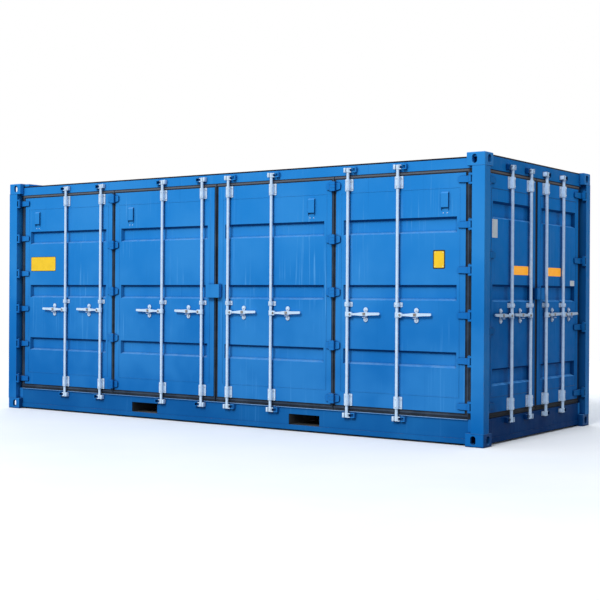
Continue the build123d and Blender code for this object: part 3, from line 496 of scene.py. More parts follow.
class Nodes:
    """A node tree, with short words for the nodes that it needs.

    Args:
        tree: the tree that takes the nodes.
    """

    def __init__(self, tree: bpy.types.NodeTree) -> None:
        """Start with an empty tree."""
        self.tree = tree
        self.tree.nodes.clear()

    def node(self, kind: str, inputs: dict[str | int, Input] | None = None,
             **settings: object) -> bpy.types.Node:
        """Add a node.

        Args:
            kind: the node's type without its Shader prefix.
            inputs: links or values for its sockets.
            settings: values for its properties.

        Returns:
            The new node.
        """
        made = self.tree.nodes.new("ShaderNode" + kind)
        for key, value in settings.items():
            setattr(made, key, value)
        for key, value in (inputs or {}).items():
            self.feed(made.inputs[key], value)
        return made

    def feed(self, socket: Socket, value: Input) -> None:
        """Link a socket to another, or set its value.

        Args:
            socket: the socket to feed.
            value: the other socket, a number, a vector or a colour.
        """
        if isinstance(value, bpy.types.NodeSocket):
            self.tree.links.new(value, socket)
        else:
            socket.default_value = (*value, 1) if socket.type == "RGBA" else value

    def math(self, operation: str, first: Value, second: Value) -> Socket:
        """The result of one sum on values."""
        return self.node("Math", {0: first, 1: second}, operation=operation).outputs[0]

    def times(self, first: Value, second: Value) -> Socket:
        """The product of two values."""
        return self.math("MULTIPLY", first, second)

    def part(self, vector: Socket, axis: int) -> Socket:
        """One part of a vector."""
        return self.node("SeparateXYZ", {0: vector}).outputs[axis]

    def seen_directly(self) -> Socket:
        """One for rays from the camera, from gloss and from glass, zero for diffuse light.

        Returns:
            The value socket.
        """
        rays = self.node("LightPath").outputs
        seen = self.math("MAXIMUM", rays["Is Camera Ray"], rays["Is Glossy Ray"])
        return self.math("MAXIMUM", seen, rays["Is Transmission Ray"])


class Graph(Nodes):
    """The node tree of one material, with what the finishes ask of a surface."""

    def __init__(self, name: str) -> None:
        """Start an empty material that ends in one Principled shader.

        Args:
            name: the material's name.
        """
        self.material = bpy.data.materials.new(name)
        self.material.use_nodes = True
        super().__init__(self.material.node_tree)
        self.output = self.node("OutputMaterial")
        self.shader = self.node("BsdfPrincipled")
        self.feed(self.output.inputs[0], self.shader.outputs[0])
        self.place = self.node("TexCoord").outputs["Object"]

    def noise(self, pattern: Pattern) -> Socket:
        """The value of a noise pattern.

        Args:
            pattern: the pattern.

        Returns:
            The value socket.
        """
        place = self.place
        if pattern.stretch:
            place = self.node("Mapping", {"Vector": place, "Scale": pattern.stretch}).outputs[0]
        return self.node("TexNoise", {
            "Vector": place, "Scale": pattern.scale, "Detail": pattern.detail,
            "Roughness": pattern.rough, "Distortion": pattern.distort}).outputs[0]

    def mask(self, pattern: Pattern, high: Span | None = None) -> Socket:
        """A noise pattern brought to its own range or to the one given."""
        return self.spread(self.noise(pattern), pattern.low, high or pattern.high)

    def cells(self, scale: float, output: str = "Distance") -> Socket:
        """A value or colour from a cell pattern of that scale."""
        return self.node("TexVoronoi", {"Vector": self.place, "Scale": scale}).outputs[output]

    def spread(self, value: Socket, low: Span, high: Span = FULL) -> Socket:
        """A value brought from one range to another, smooth at both ends.

        Args:
            value: the value to change.
            low: the range that it comes in.
            high: the range that it leaves in.

        Returns:
            The value socket.
        """
        return self.node("MapRange", {0: value, 1: low[0], 2: low[1], 3: high[0], 4: high[1]},
                         interpolation_type="SMOOTHSTEP").outputs[0]

    def mix(self, factor: Value, first: Input, second: Input, blend: str = "MIX") -> Socket:
        """A colour mixed from two others."""
        return self.node("Mix", {0: factor, 6: first, 7: second}, data_type="RGBA",
                         blend_type=blend).outputs[2]

    def height(self) -> Socket:
        """The height above the ground."""
        return self.part(self.place, 2)

    def normal(self) -> Socket:
        """The surface's own normal."""
        return self.node("NewGeometry").outputs["Normal"]

    def facing(self, way: Facing) -> Socket:
        """One on a surface that faces a way, zero on one that doesn't."""
        axis, low = way.value
        return self.spread(self.part(self.normal(), axis), low)

    def across(self) -> Socket:
        """One on a surface of the door end that faces the side doors, zero on any other."""
        inside = self.spread(self.part(self.place, 1), BEHIND_SIDE_FACE)
        return self.times(self.facing(Facing.SIDE), inside)

    def bump(self, layers: Iterable[tuple[Socket, float, float]],
             normal: Socket | None = None) -> None:
        """Lay height patterns over each other as the surface's relief.

        Args:
            layers: for each pattern its value, its strength and its depth in metres.
            normal: the normal that the first layer starts from.
        """
        for value, strength, depth in layers:
            made = self.node("Bump", {"Strength": strength, "Distance": depth, "Height": value})
            if normal:
                self.feed(made.inputs["Normal"], normal)
            normal = made.outputs[0]
        self.feed(self.shader.inputs["Normal"], normal)

    def edges(self, radius: float) -> tuple[Socket, Socket]:
        """The look of softly rounded edges.

        Args:
            radius: how far the rounding reaches.

        Returns:
            The rounded normal and a mask that is one on an edge.
        """
        soft = self.node("Bevel", {"Radius": radius}, samples=EDGE_RAYS).outputs[0]
        likeness = self.node("VectorMath", {0: soft, 1: self.normal()}, operation="DOT_PRODUCT")
        return soft, self.spread(likeness.outputs["Value"], (0.99, 0.80))

    def corners(self, reach: float) -> Socket:
        """One deep in a corner between surfaces, zero in the open.

        Args:
            reach: how far away a surface still counts.

        Returns:
            The mask.
        """
        clear = self.node("AmbientOcclusion", {"Distance": reach}, samples=CORNER_RAYS)
        return self.spread(clear.outputs["AO"], (0.95, 0.30))

    def set(self, **sockets: Input) -> None:
        """Feed the Principled shader's sockets, named with underscores for spaces.

        Args:
            sockets: a link or a value for each socket.
        """
        for name, value in sockets.items():
            title = name.replace("_", " ").title().replace("Ior", "IOR")
            self.feed(self.shader.inputs[title], value)


@dataclass(frozen=True)
class Finish:
    """The finish of one kind of surface.

    Args:
        name: the material's name.
        slot: the record's slot that it belongs to.
    """

    name: str
    slot: Slot

    def material(self) -> bpy.types.Material:
        """The material, made once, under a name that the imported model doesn't use.

        Returns:
            The material.
        """
        name = self.name + "_finish"
        if name not in bpy.data.materials:
            self.fill(Graph(name))
        return bpy.data.materials[name]

    def fill(self, graph: Graph) -> None:
        """Leave the Principled shader plain; each finish puts its own looks here."""


@dataclass(frozen=True)
class BluePaint(Finish):
    """Satin container paint with a roller texture, faint runs, dust, chipped edges and painted
    shade.

    Args:
        colour: the paint high up.
        faded: the paint where sun and rubbing have paled it.
        deep: the paint near the ground, darkened there as painted shade, and in dark runs.
        run: the paint in pale runs.
        shadow: the paint in corners and on faces turned away.
        primer: what shows in chips.
        dust: what settles on top; where it is bright blue it is a painted highlight on faces that
            point up.
        roughness: the mean roughness.
        edge: the radius of worn edges.
        corner: how far from a corner the shade reaches.
        streaks: how strong the pale runs are.
        lee: the shade on the door end's faces towards the side doors.
        end_lee: the shade on faces towards the end doors.
        specular: how much it shines.
        dust_and_highlight: the strength of the dust on top, and of the painted highlight where the
            dust is bright blue.
    """

    colour: Colour = (0.015, 0.222, 0.620)
    faded: Colour = (0.050, 0.300, 0.700)
    deep: Colour = (0.004, 0.130, 0.430)
    run: Colour = (0.090, 0.350, 0.740)
    shadow: Colour = (0.000, 0.022, 0.110)
    primer: Colour = (0.20, 0.155, 0.14)
    dust: Colour = (0.22, 0.38, 0.56)
    roughness: float = 0.46
    edge: float = 2.5 * MM
    corner: float = 30 * MM
    streaks: float = 0.55
    lee: float = 0.0
    end_lee: float = 0.0
    specular: float = 0.06
    dust_and_highlight: float = 0.42
    foot_shade: Span = (0.0, 2.3)
    running: Span = (0.5, 1.3)
    splashed: Span = (0.42, 0.02)
    clouds: Pattern = Pattern(1.1, 3.0, 0.55, (0.35, 0.68), (0.0, 0.45))
    runs: Pattern = Pattern(1.0, 4.0, 0.6, (0.56, 0.74), FULL, (46, 46, 0.9), 0.3)
    gate: Pattern = Pattern(2.2, 2.0, 0.5, (0.45, 0.62), FULL, (1.0, 1.0, 0.7))
    dark_runs: Pattern = Pattern(1.0, 3.0, 0.6, (0.60, 0.78), (0.0, 0.30), (30, 30, 0.6))
    grime: Pattern = Pattern(7.0, 6.0, 0.65, (0.35, 0.75), (0.2, 1.0))
    settled: Pattern = Pattern(9.0, 6.0, 0.7, (0.35, 0.70))
    broken: Pattern = Pattern(85.0, 5.0, 0.7)
    patches: Pattern = Pattern(3.1, 2.0, 0.5, (0.52, 0.60))
    rare: Pattern = Pattern(5.0, 3.0, 0.6, (0.66, 0.70))
    sheen: Pattern = Pattern(14.0, 5.0, 0.6, (0.3, 0.7))
    waves: Pattern = Pattern(2.4, 1.0, 0.4, stretch=(1.0, 1.0, 0.35))
    peel: Pattern = Pattern(420.0, 2.0, 0.5)

    def fill(self, graph: Graph) -> None:
        """Fill the graph: weathered paint with painted shade at its foot, then dust, rubbing,
        painted shade and chips.

        Args:
            graph: the material's graph.
        """
        # Dust on faces that point up; on the end doors its bright blue is a painted highlight
        # there.
        settled = graph.mask(self.settled, (0.3 * self.dust_and_highlight, self.dust_and_highlight))
        settled = graph.times(graph.facing(Facing.UP), settled)
        tint = graph.mix(settled, self.weathered(graph), self.dust)
        soft, near = graph.edges(self.edge)
        broken = graph.noise(self.broken)
        rubbed = graph.times(near, graph.spread(broken, (0.3, 0.7), (0.10, 0.38)))
        tint = self.shaded(graph, graph.mix(rubbed, tint, self.faded))
        chips = graph.times(graph.spread(graph.times(near, broken), (0.46, 0.58)),
                            graph.mask(self.patches))
        spots = graph.times(graph.spread(graph.cells(36.0), (0.045, 0.025)),
                            graph.mask(self.rare))
        chips = graph.math("MAXIMUM", chips, spots)
        rough = graph.mask(self.sheen, (self.roughness - 0.06, self.roughness + 0.09))
        rough = graph.math("ADD", rough, graph.times(graph.math("ADD", chips, settled), 0.30))
        graph.set(base_color=graph.mix(chips, tint, self.primer), roughness=rough,
                  specular_ior_level=self.specular)
        graph.bump(((graph.noise(self.waves), 0.5, 2.5 * MM),
                    (graph.noise(self.peel), 0.25, 0.25 * MM), (chips, -0.8, 0.25 * MM)), soft)

    def weathered(self, graph: Graph) -> Socket:
        """The paint with its painted shade towards the foot, its pale and dark runs and the grime
        at its foot.

        Args:
            graph: the material's graph.

        Returns:
            The colour socket.
        """
        height = graph.height()
        # Painted shade: the paint darkens from colour at the top to deep at the ground.
        tint = graph.mix(graph.spread(height, self.foot_shade, (1.0, 0.0)), self.colour, self.deep)
        tint = graph.mix(graph.mask(self.clouds), tint, self.faded)
        streak = graph.times(graph.mask(self.runs), graph.mask(self.gate, (0.0, self.streaks)))
        streak = graph.times(streak, graph.spread(height, self.running, (0.35, 1.0)))
        tint = graph.mix(streak, tint, self.run)
        tint = graph.mix(graph.mask(self.dark_runs), tint, self.deep)
        grime = graph.times(graph.spread(height, self.splashed, (0.0, 0.30)),
                            graph.mask(self.grime))
        return graph.mix(grime, tint, self.deep)

    def shaded(self, graph: Graph, tint: Socket) -> Socket:
        """The paint with painted shade: darker in corners and on faces turned down or away.

        Args:
            graph: the material's graph.
            tint: the paint's colour so far.

        Returns:
            The colour socket.
        """
        # Painted shade: the shadow colour in corners, on faces turned down, and on faces turned
        # away where lee or end_lee is set.
        dark = graph.math("MAXIMUM", graph.corners(self.corner),
                          graph.times(graph.facing(Facing.DOWN), 0.85))
        tint = graph.mix(graph.times(dark, 0.9), tint, self.shadow)
        if self.lee:
            tint = graph.mix(graph.times(graph.across(), self.lee), tint, self.shadow)
        if self.end_lee:
            turned_away = graph.times(graph.facing(Facing.END), self.end_lee)
            tint = graph.mix(turned_away, tint, self.shadow)
        return tint


@dataclass(frozen=True)
class Zinc(Finish):
    """Hot-dip zinc: pale metal with spangle and handling marks."""

    bright: Colour = (0.63, 0.79, 0.96)
    dull: Colour = (0.44, 0.57, 0.74)
    stain_and_shade: Colour = (0.30, 0.27, 0.25)
    metal: float = 0.15
    specular: float = 0.4
    edge: float = 1.2 * MM
    corner: float = 14 * MM
    spangle: float = 140.0
    mottle: Pattern = Pattern(26.0, 5.0, 0.6)
    marks: Pattern = Pattern(38.0, 6.0, 0.7, (0.62, 0.74), (0.0, 0.55), distort=0.4)

    def fill(self, graph: Graph) -> None:
        """Fill the graph: mottled metal, dark in its handling marks, with painted shade in its
        corners.

        Args:
            graph: the material's graph.
        """
        spangle = graph.node("SeparateColor", {0: graph.cells(self.spangle, "Color")}).outputs[0]
        mottled = graph.noise(self.mottle)
        tone = graph.math("ADD", graph.times(spangle, 0.07), graph.times(mottled, 0.8))
        tint = graph.mix(graph.spread(tone, (0.25, 0.72), (0.0, 0.65)), self.bright, self.dull)
        soft, near = graph.edges(self.edge)
        marks = graph.mask(self.marks)
        tint = graph.mix(marks, tint, self.stain_and_shade)
        tint = graph.mix(graph.times(near, 0.35), tint, self.bright)
        # Painted shade: the same dark colour as the marks, in corners.
        tint = graph.mix(graph.times(graph.corners(self.corner), 0.6), tint, self.stain_and_shade)
        rough = graph.math("ADD", graph.spread(tone, (0.2, 0.8), (0.30, 0.46)),
                           graph.times(marks, 0.35))
        graph.set(base_color=tint, metallic=self.metal, specular_ior_level=self.specular,
                  roughness=rough)
        graph.bump(((spangle, 0.06, 0.2 * MM), (mottled, 0.2, 0.4 * MM)), soft)


@dataclass(frozen=True)
class Steel(Finish):
    """Plain fasteners: dull plated steel with rust in blotches."""

    plated: Colour = (0.60, 0.68, 0.78)
    rust: Colour = (0.26, 0.085, 0.035)
    rusting: float = 0.0
    blotches: Pattern = Pattern(60.0, 6.0, 0.7)

    def fill(self, graph: Graph) -> None:
        """Fill the graph: plated metal with rough rust in blotches.

        Args:
            graph: the material's graph.
        """
        blotches = graph.noise(self.blotches)
        low = (0.62 - 0.2 * self.rusting, 0.72 - 0.2 * self.rusting)
        rusty = graph.spread(blotches, low, (0.0, 0.9))
        graph.set(base_color=graph.mix(rusty, self.plated, self.rust),
                  metallic=graph.spread(rusty, FULL, (0.7, 0.0)),
                  roughness=graph.spread(rusty, FULL, (0.42, 0.85)))
        graph.bump(((blotches, 0.4, 0.3 * MM),))


@dataclass(frozen=True)
class Rubber(Finish):
    """Door seal rubber, blue-black, with fine ribs and settled dust.

    Args:
        colour: fresh rubber.
        worn: rubber that has bloomed or been rubbed.
        upper_tone: the rubber above the height upper_tone_from, which is lighter.
        dust: how thick the dust on top is.
    """

    colour: Colour = (0.010, 0.015, 0.024)
    worn: Colour = (0.034, 0.044, 0.060)
    upper_tone: Colour = (0.080, 0.090, 0.110)
    upper_tone_from: float = 2.425
    dust: float = 0.15
    dust_colour: Colour = (0.30, 0.28, 0.26)
    edge: float = 1.5 * MM
    bloom: Pattern = Pattern(5.0, 6.0, 0.65, (0.38, 0.66), (0.0, 0.8))
    fine: Pattern = Pattern(260.0, 4.0, 0.6)

    def fill(self, graph: Graph) -> None:
        """Fill the graph: rubber with bloom, paler at the top and on its edges.

        Args:
            graph: the material's graph.
        """
        bloom = graph.noise(self.bloom)
        tint = graph.mix(graph.spread(bloom, self.bloom.low, self.bloom.high), self.colour,
                         self.worn)
        # Above a height the rubber turns lighter.
        high = graph.spread(graph.height(), (self.upper_tone_from, self.upper_tone_from + 0.01),
                            (0.0, 0.75))
        tint = graph.mix(high, tint, self.upper_tone)
        dusty = graph.times(graph.facing(Facing.UP), self.dust)
        tint = graph.mix(dusty, tint, self.dust_colour)
        soft, near = graph.edges(self.edge)
        graph.set(base_color=graph.mix(graph.times(near, 0.4), tint, self.worn),
                  roughness=graph.spread(bloom, (0.3, 0.7), (0.62, 0.82)),
                  specular_ior_level=0.15)
        graph.bump(((graph.noise(self.fine), 0.35, 0.3 * MM), (bloom, 0.3, 2.0 * MM)), soft)


@dataclass(frozen=True)
class Undercoat(Finish):
    """Bituminous coating under the floor, with road dust."""

    colour: Colour = (0.030, 0.033, 0.036)
    dust: Colour = (0.15, 0.14, 0.125)
    lumps: Pattern = Pattern(34.0, 7.0, 0.7)
    dusty: Pattern = Pattern(2.7, 5.0, 0.6, (0.40, 0.72), (0.0, 0.7))

    def fill(self, graph: Graph) -> None:
        """Fill the graph: lumpy coating with patches of dust.

        Args:
            graph: the material's graph.
        """
        lumps = graph.noise(self.lumps)
        graph.set(base_color=graph.mix(graph.mask(self.dusty), self.colour, self.dust),
                  roughness=graph.spread(lumps, (0.3, 0.7), (0.45, 0.80)))
        graph.bump(((lumps, 0.6, 1.5 * MM),))


@dataclass(frozen=True)
class Plywood(Finish):
    """The floor: boards of sealed plywood with grain, joints and scuffs."""

    pale: Colour = (0.43, 0.25, 0.125)
    dark: Colour = (0.25, 0.125, 0.055)
    joint: Colour = (0.045, 0.030, 0.022)
    scuffed: Colour = (0.16, 0.125, 0.10)
    second: Colour = (0.86, 0.86, 0.86)
    board_length: float = 2.4
    board_width: float = 1.128
    board_gap: float = 0.003
    grain: Pattern = Pattern(1.0, 8.0, 0.65, (0.32, 0.70), FULL, (2.2, 55, 55), 1.2)
    scuffs: Pattern = Pattern(3.6, 8.0, 0.75, (0.55, 0.72), (0.0, 0.6), distort=0.8)

    def fill(self, graph: Graph) -> None:
        """Fill the graph: grain and scuffs on boards with open joints.

        Args:
            graph: the material's graph.
        """
        grain = graph.noise(self.grain)
        tint = graph.mix(graph.spread(grain, self.grain.low), self.pale, self.dark)
        scuffs = graph.mask(self.scuffs)
        tint = graph.mix(scuffs, tint, self.scuffed)
        boards = graph.node("TexBrick", {
            "Vector": graph.place, "Scale": 1.0, "Mortar Size": self.board_gap,
            "Mortar Smooth": 0.2, "Brick Width": self.board_length,
            "Row Height": self.board_width, "Color1": (1, 1, 1), "Color2": self.second,
            "Mortar": (0, 0, 0)}).outputs
        tint = graph.mix(0.6, tint, boards["Color"], "MULTIPLY")
        graph.set(base_color=graph.mix(boards["Fac"], tint, self.joint),
                  roughness=graph.spread(scuffs, (0.0, 0.6), (0.42, 0.75)))
        graph.bump(((grain, 0.25, 0.6 * MM), (boards["Fac"], -0.9, 2.0 * MM)))


@dataclass(frozen=True)
class Foil(Finish):
    """Bare sign foil, slightly weathered, with a fine pebble.

    Args:
        colour: the foil's colour.
        painted_glow: how much light it gives of its own, painted light that brightens the foil.
        shade: the share of its light that the weathered parts keep.
    """

    colour: Colour = (0.95, 0.60, 0.025)
    painted_glow: float = 0.0
    shade: float = 0.92
    dirt_colour: Colour = (0.10, 0.09, 0.08)
    pebble: float = 700.0
    wear: Pattern = Pattern(12.0, 6.0, 0.7)
    dirt: Pattern = Pattern(55.0, 5.0, 0.75, (0.64, 0.74), (0.0, 0.5))

    def fill(self, graph: Graph) -> None:
        """Fill the graph: foil with darker patches, specks of dirt and painted light of its own.

        Args:
            graph: the material's graph.
        """
        wear = graph.noise(self.wear)
        darker = tuple(channel * self.shade for channel in self.colour)
        tint = graph.mix(graph.spread(wear, (0.40, 0.66)), self.colour, darker)
        tint = graph.mix(graph.mask(self.dirt), tint, self.dirt_colour)
        graph.set(base_color=tint, roughness=graph.spread(wear, (0.3, 0.7), (0.34, 0.48)),
                  specular_ior_level=0.2, emission_color=tint, emission_strength=self.painted_glow)
        graph.bump(((graph.cells(self.pebble), 0.2, 0.15 * MM), (wear, 0.15, 1.0 * MM)))


SHELL_PAINT = BluePaint("shell_paint", Slot.SHELL)
POST_PAINT = BluePaint("post_paint", Slot.SHELL, edge=9 * MM, corner=45 * MM, lee=0.75,
                       specular=0.03)
CASTING_PAINT = BluePaint("casting_paint", Slot.SHELL, lee=0.55)
FOOT_PAINT = BluePaint("foot_paint", Slot.SHELL, lee=0.85, end_lee=0.70)
# A slightly lighter copy of the door paint: a painted highlight on the vent fronts, with painted
# shade on faces towards the end doors.
VENT_PAINT = BluePaint("vent_paint", Slot.DOOR, (0.020, 0.235, 0.635), (0.052, 0.300, 0.700),
                       (0.008, 0.165, 0.500), end_lee=0.70)
# A dark copy on the end keepers: painted shade where they sit beside the cams.
KEEPER_PAINT = BluePaint("keeper_paint", Slot.SHELL, (0.004, 0.100, 0.320),
                         (0.008, 0.120, 0.360), (0.001, 0.020, 0.090), lee=0.85, specular=0.02)
# A darker copy of the shell paint on the side sill: painted shade under the doors' overhang.
SILL_PAINT = BluePaint("sill_paint", Slot.SHELL, (0.006, 0.130, 0.400), (0.015, 0.170, 0.460),
                       (0.003, 0.095, 0.320))
# The end doors' paint: its dark deep, wide corner and lee are painted shade at the foot, beside
# the rods and on faces towards the side doors; its bright blue dust is a painted highlight on
# faces that point up.
END_PAINT = BluePaint("end_paint", Slot.DOOR, (0.009, 0.240, 0.710), (0.022, 0.255, 0.730),
                      (0.001, 0.070, 0.280), dust=(0.14, 0.48, 0.98), streaks=0.5, lee=0.75,
                      specular=0.02, dust_and_highlight=0.95, corner=70 * MM)
END_HEAD_PAINT = BluePaint("end_head_paint", Slot.SHELL, (0.008, 0.190, 0.560),
                           (0.020, 0.220, 0.600), (0.001, 0.075, 0.270), specular=0.02)
END_HINGE_PAINT = replace(END_HEAD_PAINT, name="end_hinge_paint", slot=Slot.HINGE, streaks=0.0,
                          lee=0.45)
# A much darker copy on the end sill: painted shade at the foot of the end doors.
END_SILL_PAINT = BluePaint("end_sill_paint", Slot.SHELL, (0.003, 0.050, 0.200),
                           (0.006, 0.070, 0.240), (0.001, 0.032, 0.140), specular=0.02)
DOOR_PAINT = BluePaint("door_paint", Slot.DOOR, streaks=0.85, end_lee=0.45)
COVER_PAINT = BluePaint("cover_paint", Slot.HINGE, streaks=0.0, roughness=0.40, end_lee=0.60)
HINGE_PAINT = replace(COVER_PAINT, name="hinge_paint", colour=(0.010, 0.185, 0.560),
                      faded=(0.030, 0.240, 0.620), deep=(0.003, 0.115, 0.410))
# A pale blue paint for the strip on the sill's lip: a painted highlight along its edge.
LIP_HIGHLIGHT = BluePaint("lip_highlight", Slot.SHELL, (0.20, 0.40, 0.72), (0.45, 0.58, 0.72),
                      (0.16, 0.34, 0.62))
ZINC = Zinc("galvanised_steel", Slot.ZINC)
# A darker, duller copy of the zinc: painted shade on the gear of the end doors.
END_SHADED_ZINC = Zinc("shaded_zinc", Slot.ZINC, (0.54, 0.70, 0.90), (0.35, 0.48, 0.68), metal=0.05,
                specular=0.1)
BOLT_STEEL = Steel("fastener_steel", Slot.ZINC)
HASP_STEEL = Steel("hasp_steel", Slot.ZINC, (0.30, 0.29, 0.28), (0.19, 0.12, 0.085), 0.7)
RUBBER = Rubber("seal_rubber", Slot.SEAL)
END_RUBBER = Rubber("end_rubber", Slot.SEAL, (0.006, 0.009, 0.015), (0.020, 0.022, 0.028),
                    (0.200, 0.180, 0.185))
LIP_RUBBER = Rubber("lip_rubber", Slot.SEAL, (0.020, 0.038, 0.068), (0.050, 0.074, 0.110),
                    (0.130, 0.140, 0.165))
# A near-black rubber for the strips at the roof's edge: painted shade.
ROOF_EDGE_SHADE = Rubber("roof_sealant", Slot.SEAL, (0.003, 0.006, 0.016), (0.010, 0.014, 0.030),
                 (0.004, 0.008, 0.020), dust=0)
UNDERCOAT = Undercoat("underframe_coating", Slot.UNDERFRAME)
PLYWOOD = Plywood("floor_plywood", Slot.FLOOR)
YELLOW_FOIL = Foil("yellow_foil", Slot.DOOR)
# The orange foil gives light of its own: painted light that brightens it on the shaded end doors.
ORANGE_FOIL = Foil("orange_foil", Slot.DOOR, (1.0, 0.40, 0.008), painted_glow=0.45)
BLACK_FOIL = Foil("black_foil", Slot.DOOR, (0.025, 0.024, 0.022))
WHITE_FOIL = Foil("white_foil", Slot.DOOR, (0.78, 0.82, 0.86))

FINISH_OF_SLOT = {finish.slot.value: finish for finish in (
    SHELL_PAINT, DOOR_PAINT, HINGE_PAINT, ZINC, RUBBER, UNDERCOAT, PLYWOOD)}
# The fork pockets take the black undercoat: painted shade deep inside the pockets.
FINISH_OF_NODE = {
    "rear_posts": POST_PAINT, "front_posts": POST_PAINT, "top_castings": CASTING_PAINT,
    "bottom_castings": FOOT_PAINT, "near_bottom_rail": SILL_PAINT,
    "rear_sill": END_SILL_PAINT, "rear_header": END_HEAD_PAINT, "end_door_near": END_PAINT,
    "end_door_far": END_PAINT, "end_lock_box_near": END_PAINT, "end_lock_box_far": END_PAINT,
    "end_keepers": KEEPER_PAINT, "side_vents": VENT_PAINT, "end_seal_near": END_RUBBER,
    "end_seal_far": END_RUBBER, "fork_pockets": UNDERCOAT}


@dataclass
class CadNodes:
    """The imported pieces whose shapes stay, each with a finish of its own or its slot's.

    Args:
        own: the nodes that have a finish of their own.
    """

    own: dict[str, Finish] = field(default_factory=lambda: dict(FINISH_OF_NODE))

    def build(self) -> None:
        """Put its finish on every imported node."""
        for part in frame["record"]["subparts"]:
            node = frame["nodes"][part["node"]]
            finish = self.own.get(part["node"], FINISH_OF_SLOT[part["material_slot"]])
            node.data.materials.clear()
            node.data.materials.append(finish.material())
            LOG.info("%s: %s", part["node"], finish.name)


# Door gear

@dataclass(frozen=True)
class Rod:
    """One lock rod, as its joint gives it.

    Args:
        name: the rod's node.
        body: the body that turns with it.
        leaf: the body that carries its brackets.
        face: the face that it stands on.
        u: its place along the face.
        d: its depth.
        side: the way its handle points, 1 or -1.
        grip: the height of its handle.
    """

    name: str
    body: str
    leaf: str
    face: Face
    u: float
    d: float
    side: int
    grip: float

    @staticmethod
    def from_joint(joint: dict) -> "Rod":
        """Read a rod from its joint in the record.

        Args:
            joint: the joint.

        Returns:
            The rod.
        """
        name = joint["name"].removesuffix("_turn")
        face = SIDE_FACE if name.startswith("side") else END_FACE
        u, d, grip = face.local(joint["pos_m"])
        return Rod(name, joint["child"], joint["parent"], face, u, d,
                   -round(joint["axis"][2]), grip)

    def at(self, height: float = 0.0) -> Vector:
        """The point at a height on the rod's axis."""
        return Vector((self.u, self.d, height))

    def beside(self, out: float) -> float:
        """The place along the face that is so far out from the rod, on its handle's side."""
        return self.u + self.side * out


def zinc_on(face: Face) -> Finish:
    """The zinc of the gear on a face; the one on the end is a darker copy that paints the end's
    shade.
    """
    return ZINC if face is SIDE_FACE else END_SHADED_ZINC


RODS = [Rod.from_joint(joint) for joint in frame["joints"] if joint["name"].endswith("_turn")]


@dataclass(frozen=True)
class Carrier:
    """What carries a set of lock rods: its body, its face and the node of its fittings."""

    body: str
    face: Face
    fittings: str


CARRIERS = (Carrier("root", SIDE_FACE, "side_rod_fittings"),
            Carrier("end_leaf_near", END_FACE, "end_rod_fittings_near"),
            Carrier("end_leaf_far", END_FACE, "end_rod_fittings_far"))


